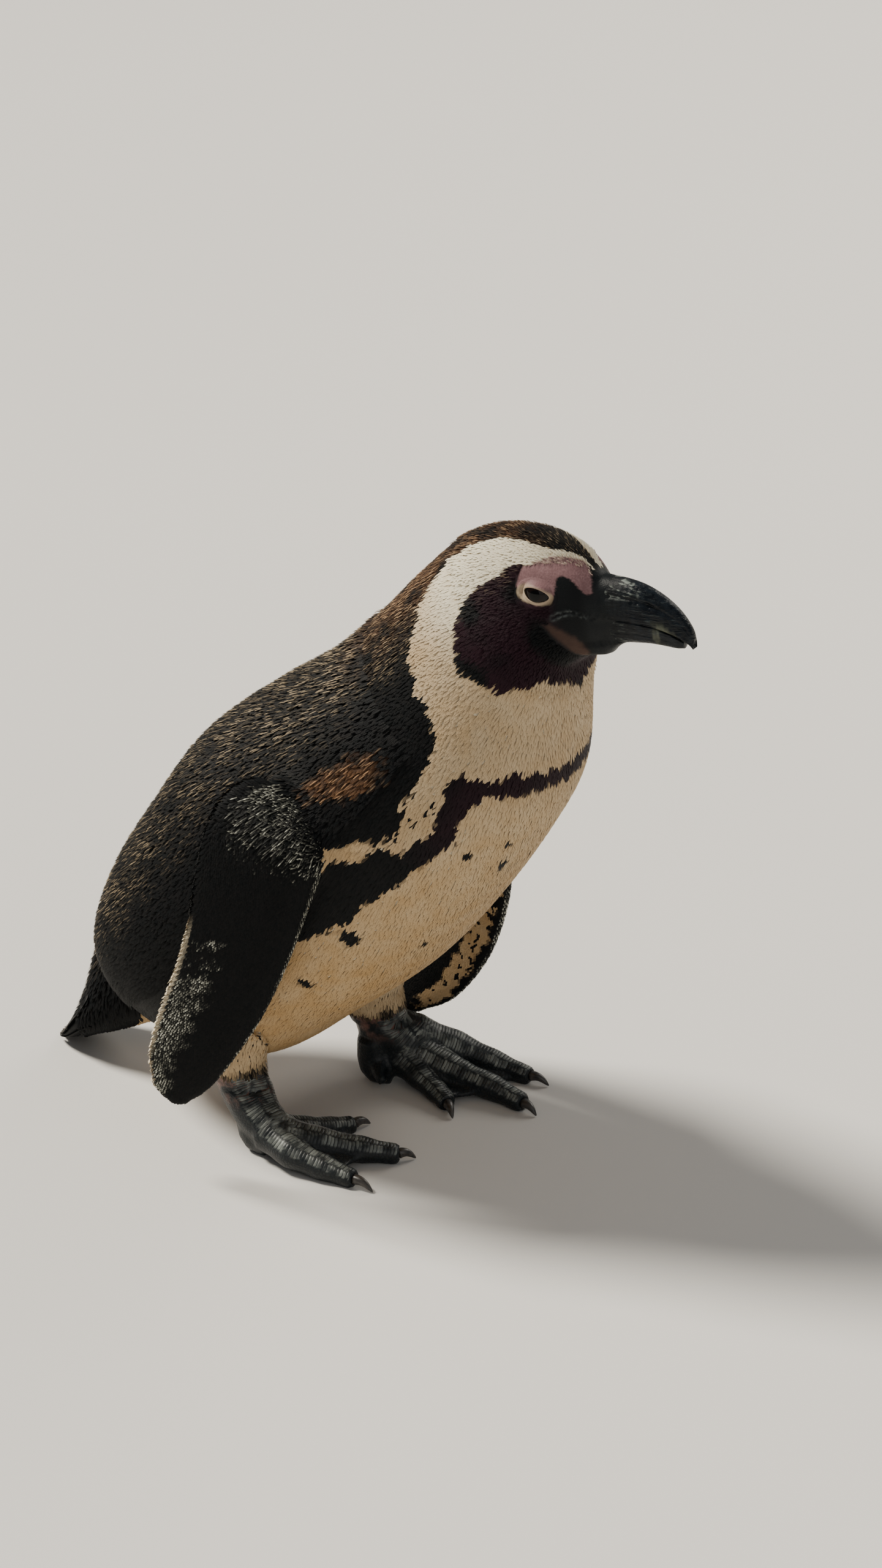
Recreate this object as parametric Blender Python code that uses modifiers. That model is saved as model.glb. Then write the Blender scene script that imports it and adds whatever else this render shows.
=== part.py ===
"""African penguin, life size, as a still museum model: crouching on both feet with its tail on the floor.

The bird faces +X, its left side is +Y and the floor is z = 0. Lengths are metres; tables are centimetres.
Trunk, neck and head are one loft along a bent spine, parted by thin gaps across it. Flippers and shanks
are cut back to the trunk's surface. Each foot is toes, webs and tarsus joined, and cut flat at the floor.
Everything hangs on one empty, which centres the bird on the origin.
"""

import math

import bmesh
import bpy
import numpy as np
from mathutils import Vector

CM = 0.01
GAP = 0.0003  # the clearance between two pieces that meet
SIDES = {"left": 1, "right": -1}

# The body's side view, station by station from rump to bill:
# dorsal x and z, ventral x and z, half width, height of the widest point (-1 belly to 1 back), fullness.
BODY = [
    (-12.7, 6.4, -8.6, 3.0, 2.3, 0.0, 2.0),
    (-12.0, 9.2, -5.1, 2.8, 4.4, 0.0, 2.1),
    (-10.4, 12.6, -0.8, 3.6, 6.2, -0.1, 2.2),
    (-8.0, 16.3, 3.3, 6.8, 7.2, -0.1, 2.2),
    (-5.3, 20.1, 7.2, 10.2, 7.6, -0.1, 2.2),
    (-1.75, 23.15, 10.3, 14.1, 7.5, -0.1, 2.2),
    (2.05, 25.95, 12.7, 17.8, 7.0, -0.1, 2.2),
    (4.7, 28.7, 14.5, 21.1, 6.0, -0.1, 2.1),
    (6.9, 31.2, 15.1, 24.5, 4.8, -0.1, 2.1),
    (9.0, 33.2, 15.3, 26.8, 3.9, -0.15, 2.1),
    (11.2, 34.2, 15.4, 28.1, 3.2, -0.3, 2.1),
    (13.4, 34.35, 15.8, 28.6, 2.7, -0.3, 2.15),
    (15.3, 33.8, 16.3, 29.0, 2.1, -0.3, 2.2),
    (16.45, 32.75, 16.9, 29.4, 1.15, -0.1, 2.2),
]
RING_POINTS = 36
RUMP, SHOULDER, NAPE, BILL_BASE = 0.0, 7.0, 9.6, 13.0  # the stations where the spine is parted
TRUNK_RINGS, NECK_RINGS, HEAD_RINGS = 22, 8, 12

HEAD_YAW = math.radians(4)  # the head looks a little to its left
YAW_PIVOT_X = 14 * CM
YAW_FROM, YAW_TO = 6.5, 10.0  # the stretch of stations over which the neck turns

EYE = (14.15, 2.0, 31.95)
EYE_RADIUS = 0.62 * CM

# The upper mandible from base to hook: x, culmen z, tomium z, half width.
BILL_UPPER = [
    (16.50, 32.72, 31.00, 1.00),
    (17.45, 32.78, 31.03, 0.92),
    (18.50, 32.68, 31.02, 0.80),
    (19.55, 32.32, 30.92, 0.65),
    (20.40, 31.78, 30.70, 0.50),
    (21.00, 31.12, 30.38, 0.35),
    (21.22, 30.62, 30.10, 0.20),
    (21.26, 30.28, 29.98, 0.08),
]
# The lower mandible: x, gonys z, half width.
BILL_LOWER = [
    (16.65, 29.45, 0.92),
    (17.60, 29.72, 0.82),
    (18.60, 29.86, 0.68),
    (19.60, 29.96, 0.52),
    (20.40, 30.04, 0.36),
    (20.85, 30.12, 0.18),
]
BILL_LEAN = 0.15  # how far the bill's base leans back for its height

# A flipper from inside the shoulder to the tip, step by step: front half chord, rear half chord, thickness.
FLIPPER_OUTLINE = [
    (1.8, 2.1, 1.9),
    (2.6, 3.2, 2.3),
    (2.5, 3.25, 1.8),
    (2.3, 2.95, 1.35),
    (2.15, 2.65, 1.1),
    (1.9, 2.35, 0.95),
    (1.5, 1.95, 0.8),
    (0.95, 1.3, 0.6),
    (0.3, 0.35, 0.5),
]
# The flippers' axes over the same steps.
FLIPPER_AXIS = {
    "right": [
        (4.2, -6.1, 21.3),
        (3.6, -7.8, 19.2),
        (3.0, -8.35, 16.5),
        (2.3, -8.6, 13.7),
        (1.2, -8.8, 10.8),
        (-0.1, -8.95, 8.1),
        (-1.2, -8.95, 5.9),
        (-1.85, -8.9, 4.65),
        (-2.2, -8.85, 3.95),
    ],
    "left": [
        (4.1, 6.0, 20.9),
        (4.0, 7.6, 18.7),
        (4.25, 8.0, 16.0),
        (4.4, 8.25, 13.2),
        (4.25, 8.35, 10.4),
        (3.5, 8.35, 7.5),
        (2.15, 8.2, 4.9),
        (0.85, 8.0, 3.45),
        (-0.15, 7.85, 2.6),
    ],
}
FLIPPER_RINGS, FLIPPER_POINTS = 17, 16
FLIPPER_TURN = math.radians(14)  # the leading edge is turned in towards the belly

# Legs and feet. Each row is a point of a limb's axis and the radius there: x, y, z, radius.
ANKLE_Z = 3.1
SHANKS = {
    "left": [
        (0.6, 5.25, 2.6, 1.4),
        (0.35, 5.1, 3.6, 1.45),
        (0.1, 4.6, 5.2, 1.75),
        (0.8, 3.9, 7.8, 2.1),
    ],
    "right": [
        (-0.9, -4.2, 2.6, 1.2),
        (-1.5, -4.25, 3.8, 1.4),
        (-1.8, -4.3, 5.4, 2.0),
        (-1.2, -4.0, 7.6, 2.4),
    ],
}
FEET = {
    "left": {
        "tarsus": [
            (0.5, 5.2, 3.9, 1.5),
            (0.7, 5.3, 3.0, 1.5),
            (1.25, 5.6, 2.25, 1.4),
            (2.1, 5.8, 1.65, 1.2),
        ],
        "heel": [
            (0.5, 4.4, 2.4, 0.8),
            (0.55, 4.4, 1.5, 0.85),
            (0.75, 4.45, 0.75, 0.85),
            (1.5, 4.8, 0.55, 0.7),
        ],
        "hallux": [
            (1.1, 4.4, 1.2, 0.5),
            (1.35, 3.7, 0.95, 0.36),
            (1.9, 3.3, 0.65, 0.24),
        ],
        "outer": [
            (1.7, 6.2, 2.05, 1.15),
            (3.5, 7.45, 1.25, 0.9),
            (5.4, 8.1, 0.7, 0.66),
            (7.2, 8.45, 0.36, 0.5),
        ],
        "middle": [
            (1.9, 5.5, 1.5, 1.05),
            (4.3, 5.85, 0.95, 0.8),
            (6.6, 6.0, 0.62, 0.66),
            (8.5, 5.85, 0.38, 0.52),
        ],
        "inner": [
            (1.8, 5.1, 1.2, 0.9),
            (3.2, 4.7, 0.75, 0.64),
            (4.4, 4.3, 0.5, 0.55),
            (5.4, 3.8, 0.34, 0.46),
        ],
    },
    "right": {
        "tarsus": [
            (-1.5, -4.15, 3.9, 1.35),
            (-1.0, -4.3, 2.9, 1.3),
            (-0.15, -4.6, 1.9, 1.15),
            (1.0, -4.8, 1.3, 1.05),
        ],
        "heel": [
            (-0.8, -4.4, 2.2, 0.8),
            (-0.5, -4.5, 1.5, 0.85),
            (-0.1, -4.7, 0.75, 0.85),
            (0.8, -4.8, 0.55, 0.7),
        ],
        "hallux": [
            (0.3, -4.1, 1.2, 0.5),
            (0.35, -3.4, 0.95, 0.36),
            (0.7, -2.9, 0.65, 0.24),
        ],
        "outer": [
            (0.8, -5.0, 1.25, 0.95),
            (2.6, -5.5, 0.9, 0.78),
            (4.3, -5.4, 0.6, 0.64),
            (5.9, -5.2, 0.36, 0.5),
        ],
        "middle": [
            (1.0, -4.8, 1.3, 0.95),
            (3.0, -3.9, 0.9, 0.78),
            (4.9, -2.9, 0.62, 0.66),
            (6.3, -2.0, 0.38, 0.52),
        ],
        "inner": [
            (0.8, -4.5, 1.2, 0.9),
            (1.6, -3.0, 0.8, 0.66),
            (2.2, -1.8, 0.52, 0.56),
            (2.75, -0.7, 0.34, 0.46),
        ],
    },
}
TOES = ("inner", "middle", "outer")
WEB_THICKNESS, WEB_SAG, WEB_LOWEST = 0.26, 0.22, 0.17
FOOT_VOXEL, FOOT_KEPT = 0.0011, 0.037  # the remesh that joins a foot, and the share of its faces that is kept
CLAW_TIPS = {
    "left": {"inner": (6.25, 3.05), "middle": (9.55, 5.6), "outer": (8.35, 8.6)},
    "right": {"inner": (3.15, 0.35), "middle": (7.0, -1.3), "outer": (7.2, -5.3)},
}
CLAW_BASE, CLAW_TIP_Z = 0.27, 0.07

# The tail from the rump to its tip on the floor: x, z, half width, half thickness.
TAIL = [
    (-10.65, 4.7, 2.3, 2.6),
    (-12.0, 3.0, 2.35, 1.6),
    (-13.3, 1.75, 2.2, 0.85),
    (-14.5, 0.65, 1.75, 0.5),
    (-15.7, 0.1, 0.95, 0.26),
]


def clear_scene():
    for thing in list(bpy.data.objects):
        bpy.data.objects.remove(thing)


def make_material(name, rgb, roughness):
    material = bpy.data.materials.new(name)
    material.use_nodes = True
    shader = material.node_tree.nodes["Principled BSDF"]
    shader.inputs["Base Color"].default_value = (*rgb, 1)
    shader.inputs["Roughness"].default_value = roughness
    material.diffuse_color = (*rgb, 1)
    return material


def make_materials():
    return {
        "head_feather": make_material("head_feather", (0.035, 0.028, 0.024), 0.6),
        "neck_feather": make_material("neck_feather", (0.75, 0.66, 0.52), 0.65),
        "trunk_feather": make_material("trunk_feather", (0.55, 0.46, 0.34), 0.65),
        "tail_feather": make_material("tail_feather", (0.025, 0.022, 0.02), 0.55),
        "flipper_feather": make_material("flipper_feather", (0.02, 0.02, 0.022), 0.5),
        "shank_feather": make_material("shank_feather", (0.42, 0.34, 0.27), 0.65),
        "bill_horn": make_material("bill_horn", (0.02, 0.022, 0.026), 0.3),
        "eye_wet": make_material("eye_wet", (0.03, 0.018, 0.012), 0.08),
        "foot_skin": make_material("foot_skin", (0.05, 0.055, 0.06), 0.5),
        "claw_horn": make_material("claw_horn", (0.03, 0.028, 0.026), 0.35),
    }


# ---- numbers ----


def catmull(rows, t):
    """The row at t of the smooth curve through rows, which lie at t = 0, 1, 2 and so on."""
    rows = np.asarray(rows, float)
    i = int(min(max(math.floor(t), 0), len(rows) - 2))
    u = t - i
    p1, p2 = rows[i], rows[i + 1]
    p0 = rows[i - 1] if i > 0 else 2 * p1 - p2
    p3 = rows[i + 2] if i + 2 < len(rows) else 2 * p2 - p1
    cubic = (3 * (p1 - p2) + p3 - p0) * u**3
    return 0.5 * (2 * p1 + (p2 - p0) * u + (2 * p0 - 5 * p1 + 4 * p2 - p3) * u**2 + cubic)


def smoothstep(x, low, high):
    u = min(max((x - low) / (high - low), 0), 1)
    return u * u * (3 - 2 * u)


def power(value, exponent):
    return math.copysign(abs(value) ** exponent, value)


def unit(vector):
    return vector / np.linalg.norm(vector)


def turned(points, share=1.0):
    """Points turned about the neck's upright pivot by a share of the head's yaw."""
    points = np.asarray(points, float)
    angle = HEAD_YAW * share
    x, y = points[..., 0] - YAW_PIVOT_X, points[..., 1]
    out = points.copy()
    out[..., 0] = YAW_PIVOT_X + x * math.cos(angle) - y * math.sin(angle)
    out[..., 1] = x * math.sin(angle) + y * math.cos(angle)
    return out


# ---- meshes and objects ----


def loft_mesh(rings):
    """A closed skin through rings of equal count, with a fan of faces on each end."""
    rings = np.asarray(rings, float)
    count, size = rings.shape[:2]
    work = bmesh.new()
    loops = [[work.verts.new(point) for point in ring] for ring in rings]
    first, last = work.verts.new(rings[0].mean(0)), work.verts.new(rings[-1].mean(0))
    for k in range(size):
        n = (k + 1) % size
        work.faces.new((first, loops[0][n], loops[0][k]))
        for i in range(count - 1):
            work.faces.new((loops[i][k], loops[i][n], loops[i + 1][n], loops[i + 1][k]))
        work.faces.new((last, loops[-1][k], loops[-1][n]))
    return finished(work)


def tube_mesh(rows, count, resolution=3):
    """A round tube with closed ends through rows of x, y, z and radius: a bevelled curve as a mesh."""
    curve = bpy.data.curves.new("tube", "CURVE")
    curve.dimensions = "3D"
    curve.bevel_depth = CM
    curve.bevel_resolution = resolution
    curve.use_fill_caps = True
    spline = curve.splines.new("POLY")
    spline.points.add(count - 1)
    for point, t in zip(spline.points, np.linspace(0, len(rows) - 1, count)):
        x, y, z, radius = catmull(rows, t)
        point.co = (x * CM, y * CM, z * CM, 1)
        point.radius = radius
    thing = bpy.data.objects.new("tube", curve)
    bpy.context.scene.collection.objects.link(thing)
    graph = bpy.context.evaluated_depsgraph_get()
    work = bmesh.new()
    work.from_mesh(bpy.data.meshes.new_from_object(thing.evaluated_get(graph)))
    bmesh.ops.remove_doubles(work, verts=work.verts, dist=1e-6)
    bpy.data.objects.remove(thing)
    return finished(work)


def ball_mesh(radius):
    work = bmesh.new()
    bmesh.ops.create_uvsphere(work, u_segments=14, v_segments=9, radius=radius)
    return finished(work)


def block_mesh(low, high):
    """A box between two corners."""
    low, high = Vector(low), Vector(high)
    work = bmesh.new()
    bmesh.ops.create_cube(work, size=1)
    bmesh.ops.scale(work, vec=high - low, verts=work.verts)
    bmesh.ops.translate(work, vec=(low + high) / 2, verts=work.verts)
    return finished(work)


def joined_mesh(meshes):
    """Several closed meshes as one, still passing through each other."""
    work = bmesh.new()
    for mesh in meshes:
        work.from_mesh(mesh)
    return finished(work)


def finished(work):
    """The bmesh as a mesh with its faces pointing out."""
    bmesh.ops.recalc_face_normals(work, faces=work.faces)
    mesh = bpy.data.meshes.new("mesh")
    work.to_mesh(mesh)
    work.free()
    return mesh


def add_part(name, mesh, material):
    mesh.name = name
    mesh.materials.append(material)
    mesh.shade_smooth()
    mesh.set_sharp_from_angle(angle=math.radians(50))
    return add_object(name, mesh, "penguin")


def add_cutter(name, mesh):
    cutter = add_object(name, mesh, "cutters")
    cutter.hide_render = True
    cutter.display_type = "WIRE"
    return cutter


def add_object(name, mesh, collection):
    thing = bpy.data.objects.new(name, mesh)
    bpy.data.collections[collection].objects.link(thing)
    thing.parent = bpy.data.objects["centre"]
    return thing


def cut(thing, cutter):
    modifier = thing.modifiers.new("cut_" + cutter.name, "BOOLEAN")
    modifier.operation = "DIFFERENCE"
    modifier.solver = "EXACT"
    modifier.object = cutter


# ---- trunk, neck, head ----


def body_ring(t, grow=0.0, along=0.0):
    """The body's section at station t, grown outwards by grow and moved along the spine by along."""
    dorsal_x, dorsal_z, ventral_x, ventral_z, half_width, widest, fullness = catmull(BODY, t)
    dorsal = np.array([dorsal_x, 0, dorsal_z]) * CM
    ventral = np.array([ventral_x, 0, ventral_z]) * CM
    centre, half_height = (dorsal + ventral) / 2, np.linalg.norm(dorsal - ventral) / 2
    up = unit(dorsal - ventral)
    forward = np.cross([0, 1, 0], up)
    ring = []
    for angle in np.linspace(0, 2 * math.pi, RING_POINTS, endpoint=False):
        v = power(math.cos(angle), 2 / fullness)
        w = power(math.sin(angle), 2 / fullness)
        v += widest * (1 - v * v)
        side = np.array([0, w * (half_width * CM + grow), 0])
        ring.append(centre + up * v * (half_height + grow) + side + forward * along)
    return turned(ring, smoothstep(t, YAW_FROM, YAW_TO))


def body_mesh(start, end, count, grow=0.0):
    """The body between two stations, half a gap short of each inner one."""
    rings = [body_ring(t, grow) for t in np.linspace(start, end, count)]
    if start > RUMP:
        rings[0] = body_ring(start, grow, GAP / 2)
    rings[-1] = body_ring(end, grow, -GAP / 2)
    return loft_mesh(rings)


def make_body(materials):
    add_part("trunk", body_mesh(RUMP, SHOULDER, TRUNK_RINGS), materials["trunk_feather"])
    add_part("neck", body_mesh(SHOULDER, NAPE, NECK_RINGS), materials["neck_feather"])
    return add_part("head", body_mesh(NAPE, BILL_BASE, HEAD_RINGS), materials["head_feather"])


def make_eyes(head, materials):
    x, y, z = EYE
    for side, sign in SIDES.items():
        eye = add_part("eye_" + side, ball_mesh(EYE_RADIUS), materials["eye_wet"])
        socket = add_cutter("socket_" + side, ball_mesh(EYE_RADIUS + GAP))
        for ball in (eye, socket):
            ball.location = turned(np.array([x, sign * y, z]) * CM)
            ball.rotation_euler = (math.radians(90), 0, HEAD_YAW)
        cut(head, socket)


# ---- bill ----


def bill_ring(x, edge_z, ridge_z, half_width):
    """A mandible's section: flat along the mouth line at edge_z, arched up or down to ridge_z."""
    lean = BILL_LEAN * (1 - smoothstep(x, BILL_UPPER[0][0], 20.0))
    arch = [(power(math.cos(a), 0.9), math.sin(a) ** 0.8) for a in np.linspace(0, math.pi, 13)]
    ring = []
    for across, height in arch + [(-0.5, 0), (0, 0), (0.5, 0)]:
        z = edge_z + (ridge_z - edge_z) * height
        ring.append((x + lean * (BILL_UPPER[0][1] - z), across * half_width, z))
    return turned(np.array(ring) * CM)


def make_bill(materials):
    """The two mandibles, parted along the mouth line by a gap."""
    half_gap = GAP / CM / 2
    upper, lower = [], []
    for t in np.linspace(0, len(BILL_UPPER) - 1, 15):
        x, culmen, tomium, half_width = catmull(BILL_UPPER, t)
        upper.append(bill_ring(x + 2 * half_gap, tomium + half_gap, culmen, half_width))
    mouth_x, _, mouth_z, _ = zip(*BILL_UPPER)
    for t in np.linspace(0, len(BILL_LOWER) - 1, 11):
        x, gonys, half_width = catmull(BILL_LOWER, t)
        mouth = np.interp(x + 0.15, mouth_x, mouth_z) - 2 * half_gap
        lower.append(bill_ring(x - 0.12, mouth, gonys, half_width))
    add_part("bill_upper", loft_mesh(upper), materials["bill_horn"])
    add_part("bill_lower", loft_mesh(lower), materials["bill_horn"])


# ---- flippers ----


def flipper_rings(side):
    steps = np.linspace(0, len(FLIPPER_OUTLINE) - 1, FLIPPER_RINGS)
    centres = [catmull(FLIPPER_AXIS[side], t) * CM for t in steps]
    rings = []
    for i, t in enumerate(steps):
        front, rear, thick = catmull(FLIPPER_OUTLINE, t) * CM
        down = unit(centres[min(i + 1, len(steps) - 1)] - centres[max(i - 1, 0)])
        out = np.array([math.sin(FLIPPER_TURN), SIDES[side] * math.cos(FLIPPER_TURN), 0])
        out = unit(out - down * (out @ down))
        forward = np.cross(down, out) * SIDES[side]
        ring = []
        for angle in np.linspace(0, 2 * math.pi, FLIPPER_POINTS, endpoint=False):
            chord = math.cos(angle)
            reach = front if chord > 0 else rear
            blade = 0.82 + 0.38 * chord  # full at the leading edge, thin at the trailing one
            ring.append(centres[i] + forward * reach * chord + out * thick / 2 * math.sin(angle) * blade)
        rings.append(ring)
    return rings


def make_flippers(trunk_grown, materials):
    """Each flipper is cut back to the trunk's surface."""
    for side in SIDES:
        flipper = add_part("flipper_" + side, loft_mesh(flipper_rings(side)), materials["flipper_feather"])
        cut(flipper, trunk_grown)


# ---- legs and feet ----


def toe_rows(rows):
    """A toe's rows with three knuckles and a rounded end added."""
    points = np.array([catmull(rows, t) for t in np.linspace(0, len(rows) - 1, 13)])
    points[:, 3] *= 1 + 0.06 * np.cos(2 * math.pi * 3 * np.linspace(0, 1, 13))
    ahead = np.append(unit(points[-1, :3] - points[-2, :3]), 0)
    end = points[-1]
    rounded = [end * (1, 1, 1, share) + ahead * step for step, share in ((0.14, 0.86), (0.24, 0.55))]
    return np.vstack([points, rounded])


def web_mesh(first, second):
    """The thin skin between two toes, scalloped at its front: a grid shaped to them and solidified."""
    work = bmesh.new()
    bmesh.ops.create_grid(work, x_segments=8, y_segments=8, size=0.5)
    for vertex in work.verts:
        share_along, share_across = (vertex.co.x + 0.5) * 0.94, vertex.co.y + 0.5
        bow = math.sin(math.pi * share_across)
        t = 3 * share_along * (1 - 0.2 * bow * share_along)
        a, b = catmull(first, t)[:3], catmull(second, t)[:3]
        x, y, z = a + (b - a) * share_across
        vertex.co = (x * CM, y * CM, max(z - WEB_SAG * bow, WEB_LOWEST) * CM)
    bmesh.ops.recalc_face_normals(work, faces=work.faces)
    bmesh.ops.solidify(work, geom=work.faces, thickness=WEB_THICKNESS * CM)
    return finished(work)


def claw_rows(side, toe, grow=0.0):
    """A claw from inside the toe's end, bowed over to a tip just above the floor."""
    end = np.array(FEET[side][toe][-1][:3])
    tip = np.array([*CLAW_TIPS[side][toe], CLAW_TIP_Z])
    base = end + unit((tip - end) * (1, 1, 0)) * (0.1 - grow) + (0, 0, 0.03)
    rows = []
    for share in np.linspace(0, 1, 5):
        arch = 0.2 * math.sin(math.pi * share)
        radius = CLAW_BASE * (1 - share) ** 0.6 + 0.04 + grow
        rows.append((*(base + (tip - base) * share + (0, 0, arch)), radius))
    return rows


def foot_mesh(parts):
    shapes = [tube_mesh(parts[name], 8, 5) for name in ("tarsus", "heel", "hallux")]
    shapes += [tube_mesh(toe_rows(parts[toe]), 15, 4) for toe in TOES]
    shapes += [web_mesh(parts[first], parts[second]) for first, second in zip(TOES, TOES[1:])]
    return joined_mesh(shapes)


def make_foot(side, floor, above_ankle, materials):
    """The joined foot, thinned out, cut flat at floor and ankle, with a socket for each claw."""
    foot = add_part("foot_" + side, foot_mesh(FEET[side]), materials["foot_skin"])
    remesh = foot.modifiers.new("join", "REMESH")
    remesh.mode = "VOXEL"
    remesh.voxel_size = FOOT_VOXEL
    remesh.use_smooth_shade = True
    smooth = foot.modifiers.new("soften", "SMOOTH")
    smooth.iterations = 2
    thin = foot.modifiers.new("thin", "DECIMATE")
    thin.ratio = FOOT_KEPT
    cut(foot, floor)
    cut(foot, above_ankle)
    for toe in TOES:
        socket = add_cutter(f"claw_socket_{side}_{toe}", tube_mesh(claw_rows(side, toe, GAP / CM), 5, 2))
        add_part(f"claw_{side}_{toe}", tube_mesh(claw_rows(side, toe), 5, 2), materials["claw_horn"])
        cut(foot, socket)


def make_legs(trunk_grown, floor, materials):
    above_ankle = add_cutter("above_ankle", block_mesh((-0.1, -0.1, ANKLE_Z * CM), (0.1, 0.1, 0.1)))
    below_ankle = add_cutter("below_ankle", block_mesh((-0.1, -0.1, 0), (0.1, 0.1, ANKLE_Z * CM + GAP)))
    for side, rows in SHANKS.items():
        make_foot(side, floor, above_ankle, materials)
        shank = add_part("shank_" + side, tube_mesh(rows, 6, 7), materials["shank_feather"])
        cut(shank, below_ankle)
        cut(shank, trunk_grown)


# ---- tail ----


def make_tail(floor, materials):
    """A flat wedge from the rump's section to the floor."""
    rings = [body_ring(RUMP, 0.0, -GAP)]
    for t in np.linspace(0.5, len(TAIL) - 1, 7):
        x, z, half_width, half_thick = catmull(TAIL, t)
        dx, dz = (catmull(TAIL, t) - catmull(TAIL, t - 0.3))[:2]
        up = unit(np.array([dz, 0, -dx])) * half_thick
        ring = []
        for angle in np.linspace(0, 2 * math.pi, RING_POINTS, endpoint=False):
            v, w = power(math.cos(angle), 0.9), power(math.sin(angle), 0.9)
            ring.append((np.array([x, w * half_width, z]) + up * v) * CM)
        rings.append(ring)
    tail = add_part("tail", loft_mesh(rings), materials["tail_feather"])
    cut(tail, floor)


def centre_on_origin(centre):
    """Moves the empty so that the box round the bird is centred on the origin."""
    bpy.context.view_layer.update()
    graph = bpy.context.evaluated_depsgraph_get()
    points = []
    for thing in bpy.data.collections["penguin"].objects:
        if thing.type == "MESH":
            shown = thing.evaluated_get(graph)
            points += [shown.matrix_world @ vertex.co for vertex in shown.data.vertices]
    points = np.array(points)
    middle = (points.min(0) + points.max(0)) / 2
    centre.location = (-middle[0], -middle[1], 0)


def main():
    clear_scene()
    for name in ("penguin", "cutters"):
        bpy.context.scene.collection.children.link(bpy.data.collections.new(name))
    centre = bpy.data.objects.new("centre", None)
    bpy.data.collections["penguin"].objects.link(centre)
    materials = make_materials()
    floor = add_cutter("below_floor", block_mesh((-0.25, -0.15, -0.05), (0.25, 0.15, 0.0)))
    trunk_grown = add_cutter("trunk_grown", body_mesh(RUMP, SHOULDER, TRUNK_RINGS, GAP))
    head = make_body(materials)
    make_eyes(head, materials)
    make_bill(materials)
    make_flippers(trunk_grown, materials)
    make_legs(trunk_grown, floor, materials)
    make_tail(floor, materials)
    centre_on_origin(centre)


main()
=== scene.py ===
"""An African penguin as a still model: skin, feathers, bill, eyes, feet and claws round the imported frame."""

import math

import bmesh
import bpy
import numpy as np
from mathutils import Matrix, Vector
from mathutils.bvhtree import BVHTree
from mathutils.kdtree import KDTree


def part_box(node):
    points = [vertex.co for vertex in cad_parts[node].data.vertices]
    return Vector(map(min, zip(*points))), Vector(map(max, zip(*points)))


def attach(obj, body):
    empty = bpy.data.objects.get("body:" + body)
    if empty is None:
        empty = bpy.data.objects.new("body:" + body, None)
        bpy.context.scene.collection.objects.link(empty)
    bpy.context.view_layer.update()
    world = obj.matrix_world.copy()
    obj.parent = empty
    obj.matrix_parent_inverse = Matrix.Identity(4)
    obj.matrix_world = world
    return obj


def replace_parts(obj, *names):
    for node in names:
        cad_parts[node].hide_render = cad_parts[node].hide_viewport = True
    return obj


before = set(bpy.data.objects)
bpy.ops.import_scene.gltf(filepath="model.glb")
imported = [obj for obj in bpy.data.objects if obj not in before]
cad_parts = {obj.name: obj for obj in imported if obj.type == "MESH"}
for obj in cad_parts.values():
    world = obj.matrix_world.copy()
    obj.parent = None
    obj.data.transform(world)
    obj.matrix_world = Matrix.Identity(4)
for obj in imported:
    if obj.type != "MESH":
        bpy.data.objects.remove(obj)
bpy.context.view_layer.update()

CM, MM = 0.01, 0.001
SIDES = {"right": -1, "left": 1}

# Stations along the spine from rump to bill, in centimetres: dorsal x and z, ventral x and z, half width,
# where the section is widest (-1 ventral, 1 dorsal) and its fullness (2 is an ellipse).
BODY = [
    (-12.7, 6.4, -8.6, 3.0, 2.3, 0.0, 2.0),
    (-12.0, 9.2, -5.1, 2.8, 4.4, 0.0, 2.1),
    (-10.4, 12.6, -0.8, 3.6, 6.2, -0.1, 2.2),
    (-8.0, 16.3, 3.3, 6.8, 7.2, -0.1, 2.2),
    (-5.3, 20.1, 7.2, 10.2, 7.6, -0.1, 2.2),
    (-1.75, 23.15, 10.3, 14.1, 7.5, -0.1, 2.2),
    (2.05, 25.95, 12.7, 17.8, 7.0, -0.1, 2.2),
    (4.7, 28.7, 14.5, 21.1, 6.0, -0.1, 2.1),
    (6.9, 31.2, 15.1, 24.5, 4.8, -0.1, 2.1),
    (9.0, 33.2, 15.3, 26.8, 3.9, -0.15, 2.1),
    (11.2, 34.2, 15.4, 28.1, 3.2, -0.3, 2.1),
    (13.4, 34.35, 15.8, 28.6, 2.7, -0.3, 2.15),
    (15.3, 33.8, 16.3, 29.0, 2.1, -0.3, 2.2),
    (16.45, 32.75, 16.9, 29.4, 1.15, -0.1, 2.2),
]
HEAD_YAW, YAW_PIVOT_X, YAW_FROM, YAW_TO = math.radians(4), 0.14, 6.5, 10.0
EYE_X, EYE_Z = 14.15, 31.95  # the middle between the eyes, in centimetres
EYE_RADIUS, EYE_TILT = 7.4 * MM, math.radians(11)
LID_LONG, LID_HIGH = 6.1 * MM, 3.15 * MM  # half the opening between the lids

# The tail from the rump to its tip on the floor: x, z, half width, half thickness.
TAIL = [
    (-10.65, 4.7, 2.3, 2.6),
    (-12.0, 3.0, 2.35, 1.6),
    (-13.3, 1.75, 2.2, 0.85),
    (-14.5, 0.65, 1.75, 0.5),
    (-15.7, 0.1, 0.95, 0.26),
]

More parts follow.
